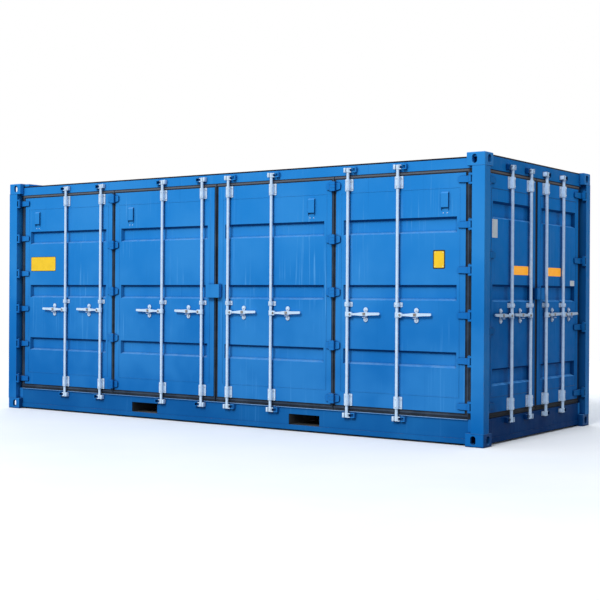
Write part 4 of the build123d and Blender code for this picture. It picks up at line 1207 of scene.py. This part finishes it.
@dataclass
class LockRods:
    """The lock rods: round tube, forged cams, hub with its eye, and the forged handle."""

    radius: float = 14.5 * MM
    facets: int = 28
    collar: float = 18 * MM
    cam_height: float = 44 * MM
    cam_inset: float = 1 * MM
    cam_reach: float = 38 * MM
    cam_half: float = 9 * MM
    cam_plate: float = 9 * MM
    cam_corner: float = 6 * MM
    web: Span = (12 * MM, 20 * MM)
    web_half: float = 5 * MM
    sleeve: float = 20 * MM
    sleeve_half: float = 25 * MM
    eye_out: float = 37 * MM
    eye_radius: float = 23 * MM
    eye: Span = (9.5 * MM, 35 * MM)
    neck: Span = (-15 * MM, 6 * MM)
    neck_half: float = 19 * MM
    bar: Span = (17.5 * MM, 27.5 * MM)
    bar_corner: float = 12 * MM
    bar_edge: float = 3.8 * MM
    reach: float = 356 * MM
    rise: float = 8 * MM
    tip_half: float = 6 * MM
    outline: tuple[Span, ...] = (
        (30 * MM, 11 * MM), (70 * MM, 9.5 * MM), (118 * MM, 12 * MM), (160 * MM, 17 * MM),
        (214 * MM, 17 * MM), (246 * MM, 13.5 * MM), (350 * MM, 12 * MM))
    hasp_out: float = 190 * MM
    hasp: Span = (14 * MM, 12 * MM)
    hasp_sheet: float = 4 * MM
    hasp_corner: float = 5 * MM
    hasp_rivet: float = 6 * MM
    pivot: float = 9 * MM
    pivot_turn: float = 15

    def build(self) -> None:
        """Build every rod and its hasp."""
        for rod in RODS:
            form = Form(rod.face)
            low, high = rod.face.box(rod.name)[2]
            form.pipe(rod.at(), self.radius, (low, high), CUT_EDGE, segments=self.facets)
            for foot in (low, high - self.cam_height):
                self.cam(form, rod, foot)
            self.handle(form, rod)
            form.stand_in(rod.name, "_forged", zinc_on(rod.face), rod.body)
            self.build_hasp(rod)

    def cam(self, form: Form, rod: Rod, foot: float) -> None:
        """Add the forked cam on one end of a rod.

        Args:
            form: the mesh that takes it.
            rod: the rod.
            foot: the height of its lower side.
        """
        low, high = foot + self.cam_inset, foot + self.cam_height - self.cam_inset
        form.pipe(rod.at(), self.collar, (low, high), PIN_EDGE)
        front = [(rod.u, -self.collar), (rod.beside(self.collar), -self.cam_half),
                 (rod.beside(self.cam_reach), -self.cam_half)]
        corners = [(u, rod.d + d) for u, d in front + [(u, -d) for u, d in front[::-1]]]
        for span in ((low, foot + self.cam_plate),
                     (foot + self.cam_height - self.cam_plate, high)):
            form.prism(rounded(corners, self.cam_corner), span, Axis.Z, CUT_EDGE)
        web = (rod.beside(self.web[0]), rod.beside(self.web[1]))
        form.box(web, around(rod.d, self.web_half),
                 (foot + self.web_half, foot + self.cam_height - self.web_half))

    def handle(self, form: Form, rod: Rod) -> None:
        """Add the hub on the rod, its eye and the bar.

        Args:
            form: the mesh that takes it.
            rod: the rod.
        """
        form.pipe(rod.at(rod.grip), self.sleeve, (-self.sleeve_half, self.sleeve_half), ROUND_EDGE)
        eye = rod.beside(self.eye_out)
        form.pipe(Vector((eye, 0, rod.grip)), self.eye_radius, self.eye, ROUND_EDGE, Axis.D)
        form.box((rod.u, eye), (rod.d + self.neck[0], rod.d + self.neck[1]),
                 around(rod.grip, self.neck_half), ROUND_EDGE)
        lean = [self.rise * out / self.reach for out, _ in self.outline]
        upper = [(out, half + rise) for (out, half), rise in zip(self.outline, lean)]
        lower = [(out, -half + rise) for (out, half), rise in zip(self.outline, lean)]
        tip = [(self.reach, self.rise + self.tip_half), (self.reach, self.rise - self.tip_half)]
        placed = [(rod.beside(out), rod.grip + height) for out, height in
                  upper + tip + lower[::-1]]
        form.prism(rounded(placed, self.bar_corner, 3), self.bar, Axis.D, self.bar_edge)

    def build_hasp(self, rod: Rod) -> None:
        """Build the hasp plate over the bar and the pivot bolt in the eye.

        Args:
            rod: the rod.
        """
        form = Form(rod.face)
        middle = rod.grip + self.rise * self.hasp_out / self.reach
        centre = rod.beside(self.hasp_out)
        front = self.bar[0] - self.hasp_sheet
        form.panel(around(centre, self.hasp[0]), around(middle, self.hasp[1]),
                   (front, self.bar[0]), self.hasp_corner, SHEET_EDGE)
        form.rivet(centre, front, middle, self.hasp_rivet)
        form.bolt(rod.beside(self.eye_out), self.eye[0], rod.grip, self.pivot, self.pivot_turn)
        form.build(rod.name + "_hasp", HASP_STEEL, rod.body)


@dataclass
class RodFittings:
    """Brackets, guides and handle catches on the leaves, and their bolts."""

    plate: Span = (50 * MM, 55 * MM)
    base_half: float = 45 * MM
    base_corner: float = 8 * MM
    bracket_height: float = 113 * MM
    guide_low: float = 72 * MM
    guide_height: float = 44 * MM
    clamp_front: float = 6.1 * MM
    clamp_half: float = 21.5 * MM
    clamp_flat: float = 12 * MM
    clamp_shoulder: float = 17 * MM
    clamp_inset: float = 3 * MM
    clamp_root: float = 2 * MM
    bore: float = 14.9 * MM
    flange_out: float = 33 * MM
    bolt_inset: float = 22 * MM
    strap_bolt: float = 6 * MM
    flange_bolt: float = 6.5 * MM
    flange_turn: float = 30
    catch_bolt: float = 10 * MM
    catch_turn: float = 20
    catch_out: float = 190 * MM
    catch: Span = (-70 * MM, 67 * MM)
    catch_boss: float = 4 * MM
    lobe: float = 23 * MM
    waist: float = 14 * MM
    shelf_top: float = -23 * MM
    shelf_sheet: float = 5 * MM
    shelf_front: float = 10 * MM
    shelf_half: float = 15 * MM

    def build(self) -> None:
        """Build the zinc pieces and the bolts of each carrier."""
        for carrier in CARRIERS:
            zinc = Form(carrier.face)
            steel = Form(carrier.face)
            low, high = carrier.face.box(carrier.fittings)[2]
            for rod in (rod for rod in RODS if rod.leaf == carrier.body):
                guide = rod.grip + self.guide_low
                for z in ((low, low + self.bracket_height), (guide, guide + self.guide_height),
                          (high - self.bracket_height, high)):
                    self.bracket(zinc, steel, rod, z)
                self.handle_catch(zinc, steel, rod)
            zinc.stand_in(carrier.fittings, "_forged", zinc_on(carrier.face), carrier.body)
            steel.build(carrier.fittings + "_bolts", BOLT_STEEL, carrier.body)

    def bracket(self, zinc: Form, steel: Form, rod: Rod, z: Span) -> None:
        """Add one bracket: base plate, bent strap round the rod, and bolts.

        Args:
            zinc: the mesh that takes the plates.
            steel: the mesh that takes the bolts.
            rod: the rod that it carries.
            z: its foot and its top.
        """
        zinc.panel(around(rod.u, self.base_half), z, self.plate, self.base_corner, SHEET_EDGE)
        root = self.plate[0] + self.clamp_root
        outer = [(self.clamp_flat, self.clamp_front), (self.clamp_half, self.clamp_shoulder),
                 (self.clamp_half, root)]
        outer = [(-u, d) for u, d in reversed(outer)] + outer
        angles = [math.radians(a) for a in range(0, 181, 15)]
        inner = [(self.bore * math.cos(a), rod.d - self.bore * math.sin(a)) for a in angles]
        inner = [(self.bore, root)] + inner + [(-self.bore, root)]
        strap = [(rod.u + u, d) for u, d in outer + inner]
        zinc.prism(strap, (z[0] + self.clamp_inset, z[1] - self.clamp_inset), Axis.Z, BENT_EDGE)
        heights = (z[0] + self.bolt_inset, z[1] - self.bolt_inset)
        if z[1] - z[0] <= 2 * self.guide_height:
            heights = ((z[0] + z[1]) / 2,)
        for height in heights:
            steel.bolt(rod.u, self.clamp_front, height, self.strap_bolt)
            for place in around(rod.u, self.flange_out):
                steel.bolt(place, self.plate[0], height, self.flange_bolt, self.flange_turn)

    def handle_catch(self, zinc: Form, steel: Form, rod: Rod) -> None:
        """Add the two-lobed plate behind a handle with its shelf and bolts.

        Args:
            zinc: the mesh that takes the plate.
            steel: the mesh that takes the bolts.
            rod: the rod whose handle it holds.
        """
        centre = rod.beside(self.catch_out)
        front = self.plate[0] - self.catch_boss
        heights = (rod.grip + self.catch[0] + self.lobe, rod.grip + self.catch[1] - self.lobe)
        for height in heights:
            zinc.pipe(Vector((centre, 0, height)), self.lobe, (front, self.plate[1]), CUT_EDGE,
                      Axis.D)
            steel.bolt(centre, front, height, self.catch_bolt, self.catch_turn)
        zinc.box(around(centre, self.waist), self.plate, heights, SHEET_EDGE)
        shelf = rod.grip + self.shelf_top
        zinc.box(around(centre, self.shelf_half), (self.shelf_front, self.plate[1]),
                 (shelf - self.shelf_sheet, shelf), CUT_EDGE)


@dataclass
class CamStops:
    """The galvanised stops beside the cams."""

    wall: Span = (36 * MM, 42 * MM)
    reach: float = 20.5 * MM
    depth: Span = (12 * MM, 55 * MM)
    sheet: float = 5.5 * MM
    height: float = 44 * MM

    def build(self) -> None:
        """Build the stops of the side rods and of the end rods."""
        for node, face in (("side_cam_stops", SIDE_FACE), ("end_cam_stops", END_FACE)):
            form = Form(face)
            low, high = face.box(node)[2]
            for rod in (rod for rod in RODS if rod.face is face):
                for foot in (low, high - self.height):
                    self.stop(form, rod, foot)
            form.stand_in(node, "_bent", zinc_on(face))

    def stop(self, form: Form, rod: Rod, foot: float) -> None:
        """Add one stop: a block on the side doors, a C that opens to the rod on the end.

        Args:
            form: the mesh that takes it.
            rod: the rod beside it.
            foot: its lower edge.
        """
        top = foot + self.height
        flange = (rod.beside(-self.reach), rod.beside(-self.wall[1]))
        if rod.face is SIDE_FACE:
            form.box(flange, self.depth, (foot, top), ROUND_EDGE)
            return
        form.box((rod.beside(-self.wall[0]), flange[1]), self.depth, (foot, top), CUT_EDGE)
        for z in ((foot, foot + self.sheet), (top - self.sheet, top)):
            form.box(flange, self.depth, z, SEAM_EDGE)


@dataclass
class Hinges:
    """The hinges of the posts and of the folds: ears, pins, knuckles and tapered blades."""

    pin_depth: float = 18 * MM
    pin_radius: float = 8 * MM
    pin_over: float = 3 * MM
    pin_head: Span = (11 * MM, 2.5 * MM)
    pin_head_over: float = 1.5 * MM
    knuckle: float = 17 * MM
    half: float = 49 * MM
    ear: float = 18 * MM
    gap: float = 0.6 * MM
    blade: Span = (40 * MM, 55 * MM)
    blade_corner: float = 7 * MM
    neck: float = 5 * MM
    tip_half: float = 25 * MM
    side_tip: float = 2.748
    rows: Span = (0.347, 2.360)
    side_count: int = 6
    end_rows: tuple[float, ...] = (0.347, 1.0155, 1.6915, 2.360)
    fold_count: int = 5
    fold_centre: float = 1428 * MM
    fold_reach: float = 78 * MM
    fold_half: float = 45 * MM
    fold_corner: float = 8 * MM
    fold_pin: float = 10 * MM
    fold_pin_over: float = 4 * MM
    block_half: float = 31 * MM
    block_front: float = 16 * MM
    block_corner: float = 9 * MM

    def build(self) -> None:
        """Build the side, fold and end hinges."""
        self.side_hinges()
        folds = Form(SIDE_FACE)
        for sign in (-1, 1):
            for height in self.even_rows(self.fold_count):
                self.fold(folds, sign * self.fold_centre, height)
        folds.stand_in("fold_hinges", "_forged", HINGE_PAINT)
        self.end_hinges()

    def even_rows(self, count: int) -> list[float]:
        """The heights of a number of hinges, evenly from the lowest to the highest."""
        low, high = self.rows
        return [low + (high - low) * index / (count - 1) for index in range(count)]

    def side_hinges(self) -> None:
        """Build the hinges between the posts and the folding leaves."""
        ears = Form(SIDE_FACE)
        blades = Form(SIDE_FACE)
        wall = SIDE_FACE.box("side_hinge_ears")[0][1]
        pin = SIDE_FACE.box("side_hinge_blades")[0][1] - self.knuckle
        for sign in (-1, 1):
            for height in self.even_rows(self.side_count):
                self.ears(ears, sign * pin, sign * wall, height)
                self.blade_on(blades, sign * pin, sign, sign * self.side_tip, height)
        ears.stand_in("side_hinge_ears", "_forged", HINGE_PAINT)
        blades.stand_in("side_hinge_blades", "_forged", HINGE_PAINT)

    def end_hinges(self) -> None:
        """Build the hinges of the end doors, the blades on the leaves."""
        ears = Form(END_FACE)
        wall = END_FACE.box("end_hinge_ears")[0][1]
        for sign, leaf in ((-1, "near"), (1, "far")):
            blades = Form(END_FACE)
            node = "end_hinge_blades_" + leaf
            tip, edge = sorted(map(abs, END_FACE.box(node)[0]))
            pin = sign * (edge - self.knuckle)
            for height in self.end_rows:
                self.ears(ears, pin, sign * wall, height)
                self.blade_on(blades, pin, sign, sign * tip, height)
            blades.stand_in(node, "_forged", END_HINGE_PAINT, "end_leaf_" + leaf)
        ears.stand_in("end_hinge_ears", "_forged", END_HINGE_PAINT)

    def ears(self, form: Form, pin: float, wall: float, height: float) -> None:
        """Add the two ears on a post and the pin through them.

        Args:
            form: the mesh that takes them.
            pin: where the pin stands along the face.
            wall: where the post begins.
            height: the hinge's middle.
        """
        way = 1 if wall > pin else -1
        arc = [(pin - way * self.knuckle * math.cos(math.radians(a)),
                self.pin_depth - self.knuckle * math.sin(math.radians(a)))
               for a in range(-90, 91, 15)]
        front, back = around(self.pin_depth, self.knuckle)
        for low in (height - self.half, height + self.half - self.ear):
            form.prism(arc + [(wall, front), (wall, back)], (low, low + self.ear), Axis.Z,
                       CUT_EDGE)
        reach = self.half + self.pin_over
        form.pipe(Vector((pin, self.pin_depth, height)), self.pin_radius, (-reach, reach),
                  PIN_EDGE)
        radius, half = self.pin_head
        for middle in around(height, reach + self.pin_head_over):
            form.pipe(Vector((pin, self.pin_depth, middle)), radius, (-half, half), CUT_EDGE)

    def blade_on(self, form: Form, pin: float, sign: int, tip: float, height: float) -> None:
        """Add one blade from its knuckle back to the leaf.

        Args:
            form: the mesh that takes it.
            pin: where the pin stands along the face.
            sign: the side of the face that it is on.
            tip: where the blade ends.
            height: the hinge's middle.
        """
        half = self.half - self.ear - self.gap
        form.pipe(Vector((pin, self.pin_depth, height)), self.knuckle, (-half, half), CUT_EDGE)
        form.box((pin + sign * self.neck, pin - sign * self.knuckle),
                 (self.pin_depth, self.blade[1]), around(height, half), PIN_EDGE)
        corners = [(pin, height - half), (tip, height - self.tip_half),
                   (tip, height + self.tip_half), (pin, height + half)]
        form.prism(rounded(corners, self.blade_corner), self.blade, Axis.D, BLADE_EDGE)

    def fold(self, form: Form, centre: float, height: float) -> None:
        """Add one hinge over a fold: two tapered blades and a knuckle in three parts.

        Args:
            form: the mesh that takes it.
            centre: the fold's place along the face.
            height: the hinge's middle.
        """
        half = self.fold_half
        reach, tip = self.fold_reach, half - self.ear
        corners = [(-reach, -tip), (0, -half), (reach, -tip), (reach, tip), (0, half),
                   (-reach, tip)]
        placed = [(centre + u, height + z) for u, z in corners]
        form.prism(rounded(placed, self.fold_corner), self.blade, Axis.D, BLADE_EDGE)
        left, right = around(centre, self.block_half)
        back = self.blade[1]
        block = rounded([(left, back), (left, self.block_front), (right, self.block_front),
                         (right, back)], self.block_corner)
        third = 2 * half / 3
        for index in range(3):
            low = height - half + index * third
            form.prism(block, (low + self.gap, low + third - self.gap), Axis.Z, CUT_EDGE)
        reach = half + self.fold_pin_over
        form.pipe(Vector((centre, self.blade[0], height)), self.fold_pin, (-reach, reach),
                  PIN_EDGE)


# Leaves and shell

@dataclass(frozen=True)
class Leaf:
    """One door leaf and the body and face that it belongs to."""

    node: str
    body: str
    face: Face

    def spans(self) -> tuple[Span, Span, Span]:
        """Its reach along the face, in depth and in height."""
        return self.face.box(self.node)


LEAVES = tuple(Leaf(f"side_door_{index}", "root", SIDE_FACE) for index in range(1, 5)) + (
    Leaf("end_door_near", "end_leaf_near", END_FACE),
    Leaf("end_door_far", "end_leaf_far", END_FACE))


@dataclass
class LeafSeams:
    """The weld line round the sheet of each leaf."""

    top_inset: float = 130 * MM
    foot_inset: float = 136 * MM
    side_inset: float = 60 * MM
    half_width: float = 3.5 * MM
    proud: float = 1.6 * MM
    sunk: float = 1 * MM

    def build(self) -> None:
        """Add the four lines on every leaf."""
        for leaf in LEAVES:
            form = Form(leaf.face)
            u, d, z = leaf.spans()
            sides = (u[0] + self.side_inset, u[1] - self.side_inset)
            ends = (z[0] + self.foot_inset, z[1] - self.top_inset)
            depth = (d[0] - self.proud, d[0] + self.sunk)
            for height in ends:
                form.box(sides, depth, around(height, self.half_width), SEAM_EDGE)
            for place in sides:
                form.box(around(place, self.half_width), depth, ends, SEAM_EDGE)
            form.build(leaf.node + "_seam", DOOR_PAINT, leaf.body)


@dataclass
class SealLips:
    """The raised rubber lips in the joints round the leaves."""

    half_width: float = 8 * MM
    depth: Span = (56 * MM, 63 * MM)
    band: float = 37 * MM
    foot_band: float = 46 * MM
    post_band: float = 52 * MM
    end_post_band: float = 39 * MM
    fold_band: float = 23 * MM

    def build(self) -> None:
        """Add the lips of every leaf."""
        for leaf in LEAVES:
            form = Form(leaf.face)
            u, _, z = leaf.spans()
            side = leaf.face is SIDE_FACE
            middle = (u[0] + u[1]) / 2
            ends = (z[0] - self.foot_band / 2, z[1] + self.band / 2)
            reach = (self.post_band if side else self.end_post_band) / 2
            post = max(u, key=abs) + math.copysign(reach, middle)
            left = u[0] - self.fold_band / 2
            right = u[1] + self.fold_band / 2
            if leaf.node not in ("side_door_2", "side_door_3"):
                left, right = (post, right) if middle < 0 else (left, post)
            for height in ends:
                self.bar(form, widened((left, right), self.half_width), (height, height))
            uprights = {left, right}
            if leaf.node != "side_door_1" and left != post:
                uprights.discard(left)
            for place in uprights:
                self.bar(form, (place, place), ends)
            form.build(leaf.node + "_lip", LIP_RUBBER if side else END_RUBBER, leaf.body)

    def bar(self, form: Form, u: Span, z: Span) -> None:
        """Add one straight lip, widened where its reach is a single line.

        Args:
            form: the mesh that takes it.
            u: its reach along the face.
            z: its reach in height.
        """
        u, z = (around(span[0], self.half_width) if span[0] == span[1] else span
                for span in (u, z))
        form.box(u, self.depth, z, ROUND_EDGE)


@dataclass(frozen=True)
class Sign:
    """A bare sign plate riveted on a leaf.

    Args:
        name: the piece's name.
        leaf: the leaf that carries it.
        u: its reach along the face.
        z: its reach in height.
        finish: the foil on it.
        border: the width of its dark border, or zero.
    """

    name: str
    leaf: Leaf
    u: Span
    z: Span
    finish: Finish
    border: float = 0.0
    sheet: float = 1 * MM
    foil: float = 0.6 * MM
    sunk: float = 1 * MM
    corner: float = 9 * MM
    border_corner: float = 14 * MM
    corner_steps: int = 5
    rivet: float = 3.5 * MM
    rivet_inset: float = 11 * MM

    def build(self) -> None:
        """Add the plate, its border and its rivets."""
        front = self.leaf.spans()[1][0]
        top = front - self.sheet
        if self.border:
            back = Form(self.leaf.face)
            back.panel(self.u, self.z, (top, front + self.sunk), self.border_corner, FOIL_EDGE,
                       self.corner_steps)
            back.build(self.name + "_border", BLACK_FOIL, self.leaf.body)
            top -= self.foil
        u, z = (widened(span, -self.border) for span in (self.u, self.z))
        plate = Form(self.leaf.face)
        plate.panel(u, z, (top, front + self.sunk), self.corner, FOIL_EDGE,
                    self.corner_steps)
        plate.build(self.name, self.finish, self.leaf.body)
        rivets = Form(self.leaf.face)
        for place in widened(u, -self.rivet_inset):
            for height in widened(z, -self.rivet_inset):
                rivets.rivet(place, top, height, self.rivet)
        rivets.build(self.name + "_rivets", BOLT_STEEL, self.leaf.body)


def signs() -> list[Sign]:
    """Every bare plate on the doors.

    Returns:
        The signs, those of the side doors first.
    """
    first, _, _, last, near, far = LEAVES
    return [
        Sign("side_plate_wide", first, (-2.722, -2.321), (1.581, 1.745), YELLOW_FOIL, 5 * MM),
        Sign("side_plate_tall", last, (2.493, 2.615), (1.569, 1.738), YELLOW_FOIL, 10 * MM),
        Sign("end_plate_near", near, (-0.515, -0.185), (1.525, 1.607), ORANGE_FOIL),
        Sign("end_plate_far", far, (0.277, 0.586), (1.525, 1.607), ORANGE_FOIL),
        Sign("end_data_plate", near, (-0.959, -0.850), (1.849, 2.016), WHITE_FOIL),
        Sign("end_small_plate", far, (0.829, 0.938), (1.434, 1.487), WHITE_FOIL)]


@dataclass
class ShellWelds:
    """Weld beads between castings and posts and across the roof, and a pale strip on the sill's
    lip that paints its highlight.
    """

    radius: float = 3.2 * MM
    heights: Span = (118 * MM, 2473 * MM)
    depth: float = 1 * MM
    long_faces: Span = (2.904, 3.027)
    short_faces: Span = (1.114, 1.217)
    roof_radius: float = 3 * MM
    roof_ripple: float = 12 * MM
    roof_pitch: float = 1.045
    roof_top: float = 2547 * MM
    roof_reach: float = 1.14
    lip: Vector = field(default_factory=lambda: Vector((0, 49 * MM, 233 * MM)))
    lip_radius: float = 2.6 * MM
    lip_half: float = 2.850
    lip_sides: int = 10

    def build(self) -> None:
        """Add the beads and the lip."""
        for name, face, (inner, outer) in (
                ("side", SIDE_FACE, self.long_faces), ("far", FAR_FACE, self.long_faces),
                ("end", END_FACE, self.short_faces), ("front", FRONT_FACE, self.short_faces)):
            form = Form(face)
            for height in self.heights:
                for sign in (-1, 1):
                    form.bead(Vector((sign * inner, self.depth, height)),
                              Vector((sign * outer, self.depth, height)), self.radius)
            form.build(name + "_casting_welds", SHELL_PAINT)
        form = Form(SIDE_FACE)
        for index in range(-2, 3):
            start = Vector((index * self.roof_pitch, HALF_WIDTH - self.roof_reach,
                            self.roof_top))
            form.bead(start, start + Vector((0, 2 * self.roof_reach, 0)), self.roof_radius,
                      self.roof_ripple)
        form.build("roof_seams", SHELL_PAINT)
        # A pale strip along the sill's lip: a painted highlight.
        form = Form(SIDE_FACE)
        form.pipe(self.lip, self.lip_radius, (-self.lip_half, self.lip_half), SHEET_EDGE, Axis.U,
                  self.lip_sides)
        form.build("sill_lip_edge", LIP_HIGHLIGHT)


@dataclass
class RoofEdgeShade:
    """A dark strip along the edge of the roof on its rails: painted shade under the roof's edge.
    """

    width: Span = (55.5 * MM, 66 * MM)
    rail_top: float = 2545 * MM
    header_top: float = 2575 * MM
    height: float = 15 * MM
    half_length: float = 2.849
    half_width: float = 1.055
    sunk: float = 1 * MM

    def build(self) -> None:
        """Add the dark strips along the side rails and over the header of the end doors."""
        for name, face, half, top in (
                ("near", SIDE_FACE, self.half_length, self.rail_top),
                ("far", FAR_FACE, self.half_length, self.rail_top),
                ("header", END_FACE, self.half_width, self.header_top)):
            form = Form(face)
            form.box((-half, half), self.width, (top - self.sunk, top + self.height), ROUND_EDGE)
            form.build(name + "_roof_sealant", ROOF_EDGE_SHADE)


@dataclass
class LockBoxCover:
    """The plate over both halves of the lock box on the side doors, which don't move."""

    margin: float = 1.5 * MM
    sheet: float = 2.5 * MM
    sunk: float = 0.5 * MM
    corner: float = 5 * MM

    def build(self) -> None:
        """Add the plate on the front of the box."""
        u, d, z = SIDE_FACE.box("side_lock_box")
        form = Form(SIDE_FACE)
        form.panel(widened(u, self.margin), widened(z, self.margin),
                   (d[0] - self.sheet, d[0] + self.sunk), self.corner, BENT_EDGE)
        form.build("side_lock_box_cover", COVER_PAINT)


@dataclass
class SmallParts:
    """Rivets at the vents and screws in the floor."""

    vent_places: tuple[float, ...] = (-2.613, -1.173, 1.173, 2.613)
    vent_rivet: float = 5 * MM
    vent_out: float = 20 * MM
    vent_depth: float = 55 * MM
    vent_height: float = 2069 * MM
    screw: float = 6 * MM
    screw_span: Span = (-1 * MM, 0.6 * MM)
    screw_sides: int = 10
    floor_pitch: float = 305 * MM
    floor_top: float = 310 * MM
    floor_edge: float = -1.03
    floor_width: float = 2.12
    rows: int = 19
    across: int = 11

    def build(self) -> None:
        """Add the rivets and the screws."""
        rivets = Form(SIDE_FACE)
        for vent in self.vent_places:
            for place in around(vent, self.vent_out):
                rivets.rivet(place, self.vent_depth, self.vent_height, self.vent_rivet)
        rivets.build("vent_rivets", BOLT_STEEL)
        screws = Form(SIDE_FACE)
        for row in range(self.rows):
            x = (row - (self.rows - 1) / 2) * self.floor_pitch
            for index in range(self.across):
                y = self.floor_edge + self.floor_width * index / (self.across - 1) + HALF_WIDTH
                screws.pipe(Vector((x, y, self.floor_top)), self.screw, self.screw_span,
                            FOIL_EDGE, segments=self.screw_sides)
        screws.build("floor_screws", BOLT_STEEL)


# Studio

@dataclass(frozen=True)
class Lamp:
    """A distant lamp.

    Args:
        name: its name.
        towards: the direction from the object to it.
        strength: its strength.
        angle: how wide it is, in degrees.
    """

    name: str
    towards: tuple[float, float, float]
    strength: float
    angle: float

    def build(self) -> None:
        """Add the lamp to the scene."""
        data = bpy.data.lights.new(self.name, "SUN")
        data.energy = self.strength
        data.angle = math.radians(self.angle)
        lamp = add_object(self.name, data)
        lamp.rotation_euler = Vector(self.towards).to_track_quat("Z", "Y").to_euler()


@dataclass
class Studio:
    """Camera, lamps, world and floor."""

    camera_place: tuple[float, float, float] = (7.75347, -10.86863, 1.32812)
    yaw: float = -35.808
    pitch: float = -0.0372
    roll: float = 0.3362
    lens: float = 72.998
    sensor: float = 36
    shift: Span = (0.04016, -0.0075)
    clip_end: float = 200
    lamps: tuple[Lamp, ...] = (Lamp("key", (0.03, -0.80, 0.62), 1.88, 20),
                               Lamp("back", (-0.55, 0.75, 0.50), 0.80, 30))
    horizon: Colour = (0.33, 0.37, 0.41)
    overhead: Colour = (0.92, 0.99, 1.06)
    fill_side: tuple[float, float, float] = (-0.35, -0.94, 0.0)
    fill_levels: Span = (0.55, 1.45)
    floor_radius: float = 30.0
    floor_sides: int = 64
    floor_fade: Span = (7.0, 16.0)
    floor_mottle: Pattern = Pattern(0.8, 3.0, 0.5, (0.3, 0.7))
    floor_colours: tuple[Colour, Colour] = ((0.86, 0.87, 0.88), (0.89, 0.89, 0.90))
    floor_dim: Colour = (0.20, 0.20, 0.20)

    def build(self) -> None:
        """Set up everything around the container."""
        self.camera()
        for lamp in self.lamps:
            lamp.build()
        self.world()
        self.floor()
        bpy.context.scene.view_settings.view_transform = "Standard"

    def camera(self) -> None:
        """Set up the camera at the photograph's place, angle and framing."""
        yaw, pitch, roll = (math.radians(angle) for angle in (self.yaw, self.pitch, self.roll))
        ahead = Vector((math.sin(yaw) * math.cos(pitch), math.cos(yaw) * math.cos(pitch),
                        math.sin(pitch)))
        right = Vector((math.cos(yaw), -math.sin(yaw), 0))
        up = right.cross(ahead)
        tilted = math.cos(roll) * right + math.sin(roll) * up
        top = math.cos(roll) * up - math.sin(roll) * right
        turn = Matrix((tilted, top, -ahead)).transposed()
        data = bpy.data.cameras.new("camera")
        data.sensor_fit = "HORIZONTAL"
        data.sensor_width = self.sensor
        data.lens = self.lens
        data.shift_x, data.shift_y = self.shift
        data.clip_end = self.clip_end
        camera = add_object("camera", data)
        camera.matrix_world = Matrix.Translation(self.camera_place) @ turn.to_4x4()
        bpy.context.scene.camera = camera

    def world(self) -> None:
        """Set up white for camera and gloss, and a fill from above and the side for the rest."""
        world = bpy.data.worlds.new("studio")
        world.use_nodes = True
        nodes = Nodes(world.node_tree)
        direction = nodes.node("TexCoord").outputs["Generated"]
        sky = nodes.node("ValToRGB", {0: nodes.part(direction, 2)})
        for stop, colour in zip(sky.color_ramp.elements, (self.horizon, self.overhead)):
            stop.color = (*colour, 1)
        side = nodes.node("VectorMath", {0: direction, 1: self.fill_side},
                          operation="DOT_PRODUCT").outputs["Value"]
        low, high = self.fill_levels
        level = nodes.node("MapRange", {0: side, 1: -1.0, 2: 1.0, 3: low, 4: high}).outputs[0]
        fill = nodes.node("Background", {"Color": sky.outputs[0], "Strength": level})
        seen = nodes.node("Background", {"Color": (1, 1, 1)})
        mixer = nodes.node("MixShader", {0: nodes.seen_directly(), 1: fill.outputs[0],
                                         2: seen.outputs[0]})
        nodes.node("OutputWorld", {0: mixer.outputs[0]})
        bpy.context.scene.world = world

    def floor(self) -> None:
        """Set up a plain pale floor that fades into the white around it."""
        mesh = bpy.data.meshes.new("floor")
        angles = [2 * math.pi * index / self.floor_sides for index in range(self.floor_sides)]
        ring = [(self.floor_radius * math.cos(a), self.floor_radius * math.sin(a), 0)
                for a in angles]
        mesh.from_pydata(ring, [], [tuple(range(self.floor_sides))])
        floor = add_object("studio_floor", mesh)
        graph = Graph("studio_floor")
        distance = graph.node("VectorMath", {0: graph.place}, operation="LENGTH")
        fade = graph.spread(distance.outputs["Value"], self.floor_fade)
        pale = graph.mix(graph.mask(self.floor_mottle), *self.floor_colours)
        graph.set(base_color=graph.mix(graph.seen_directly(), self.floor_dim, pale),
                  roughness=0.9)
        clear = graph.node("BsdfTransparent").outputs[0]
        mixer = graph.node("MixShader", {0: fade, 1: graph.shader.outputs[0], 2: clear})
        graph.feed(graph.output.inputs[0], mixer.outputs[0])
        floor.data.materials.append(graph.material)


def main() -> None:
    """Build every group of pieces in order."""
    logging.basicConfig(level=logging.INFO, format="%(name)s %(message)s")
    for group in (CadNodes(), LockRods(), RodFittings(), CamStops(), Hinges(), LeafSeams(),
                  SealLips(), ShellWelds(), RoofEdgeShade(), LockBoxCover(), SmallParts(),
                  *signs(), Studio()):
        group.build()


if __name__ == "__main__":
    main()
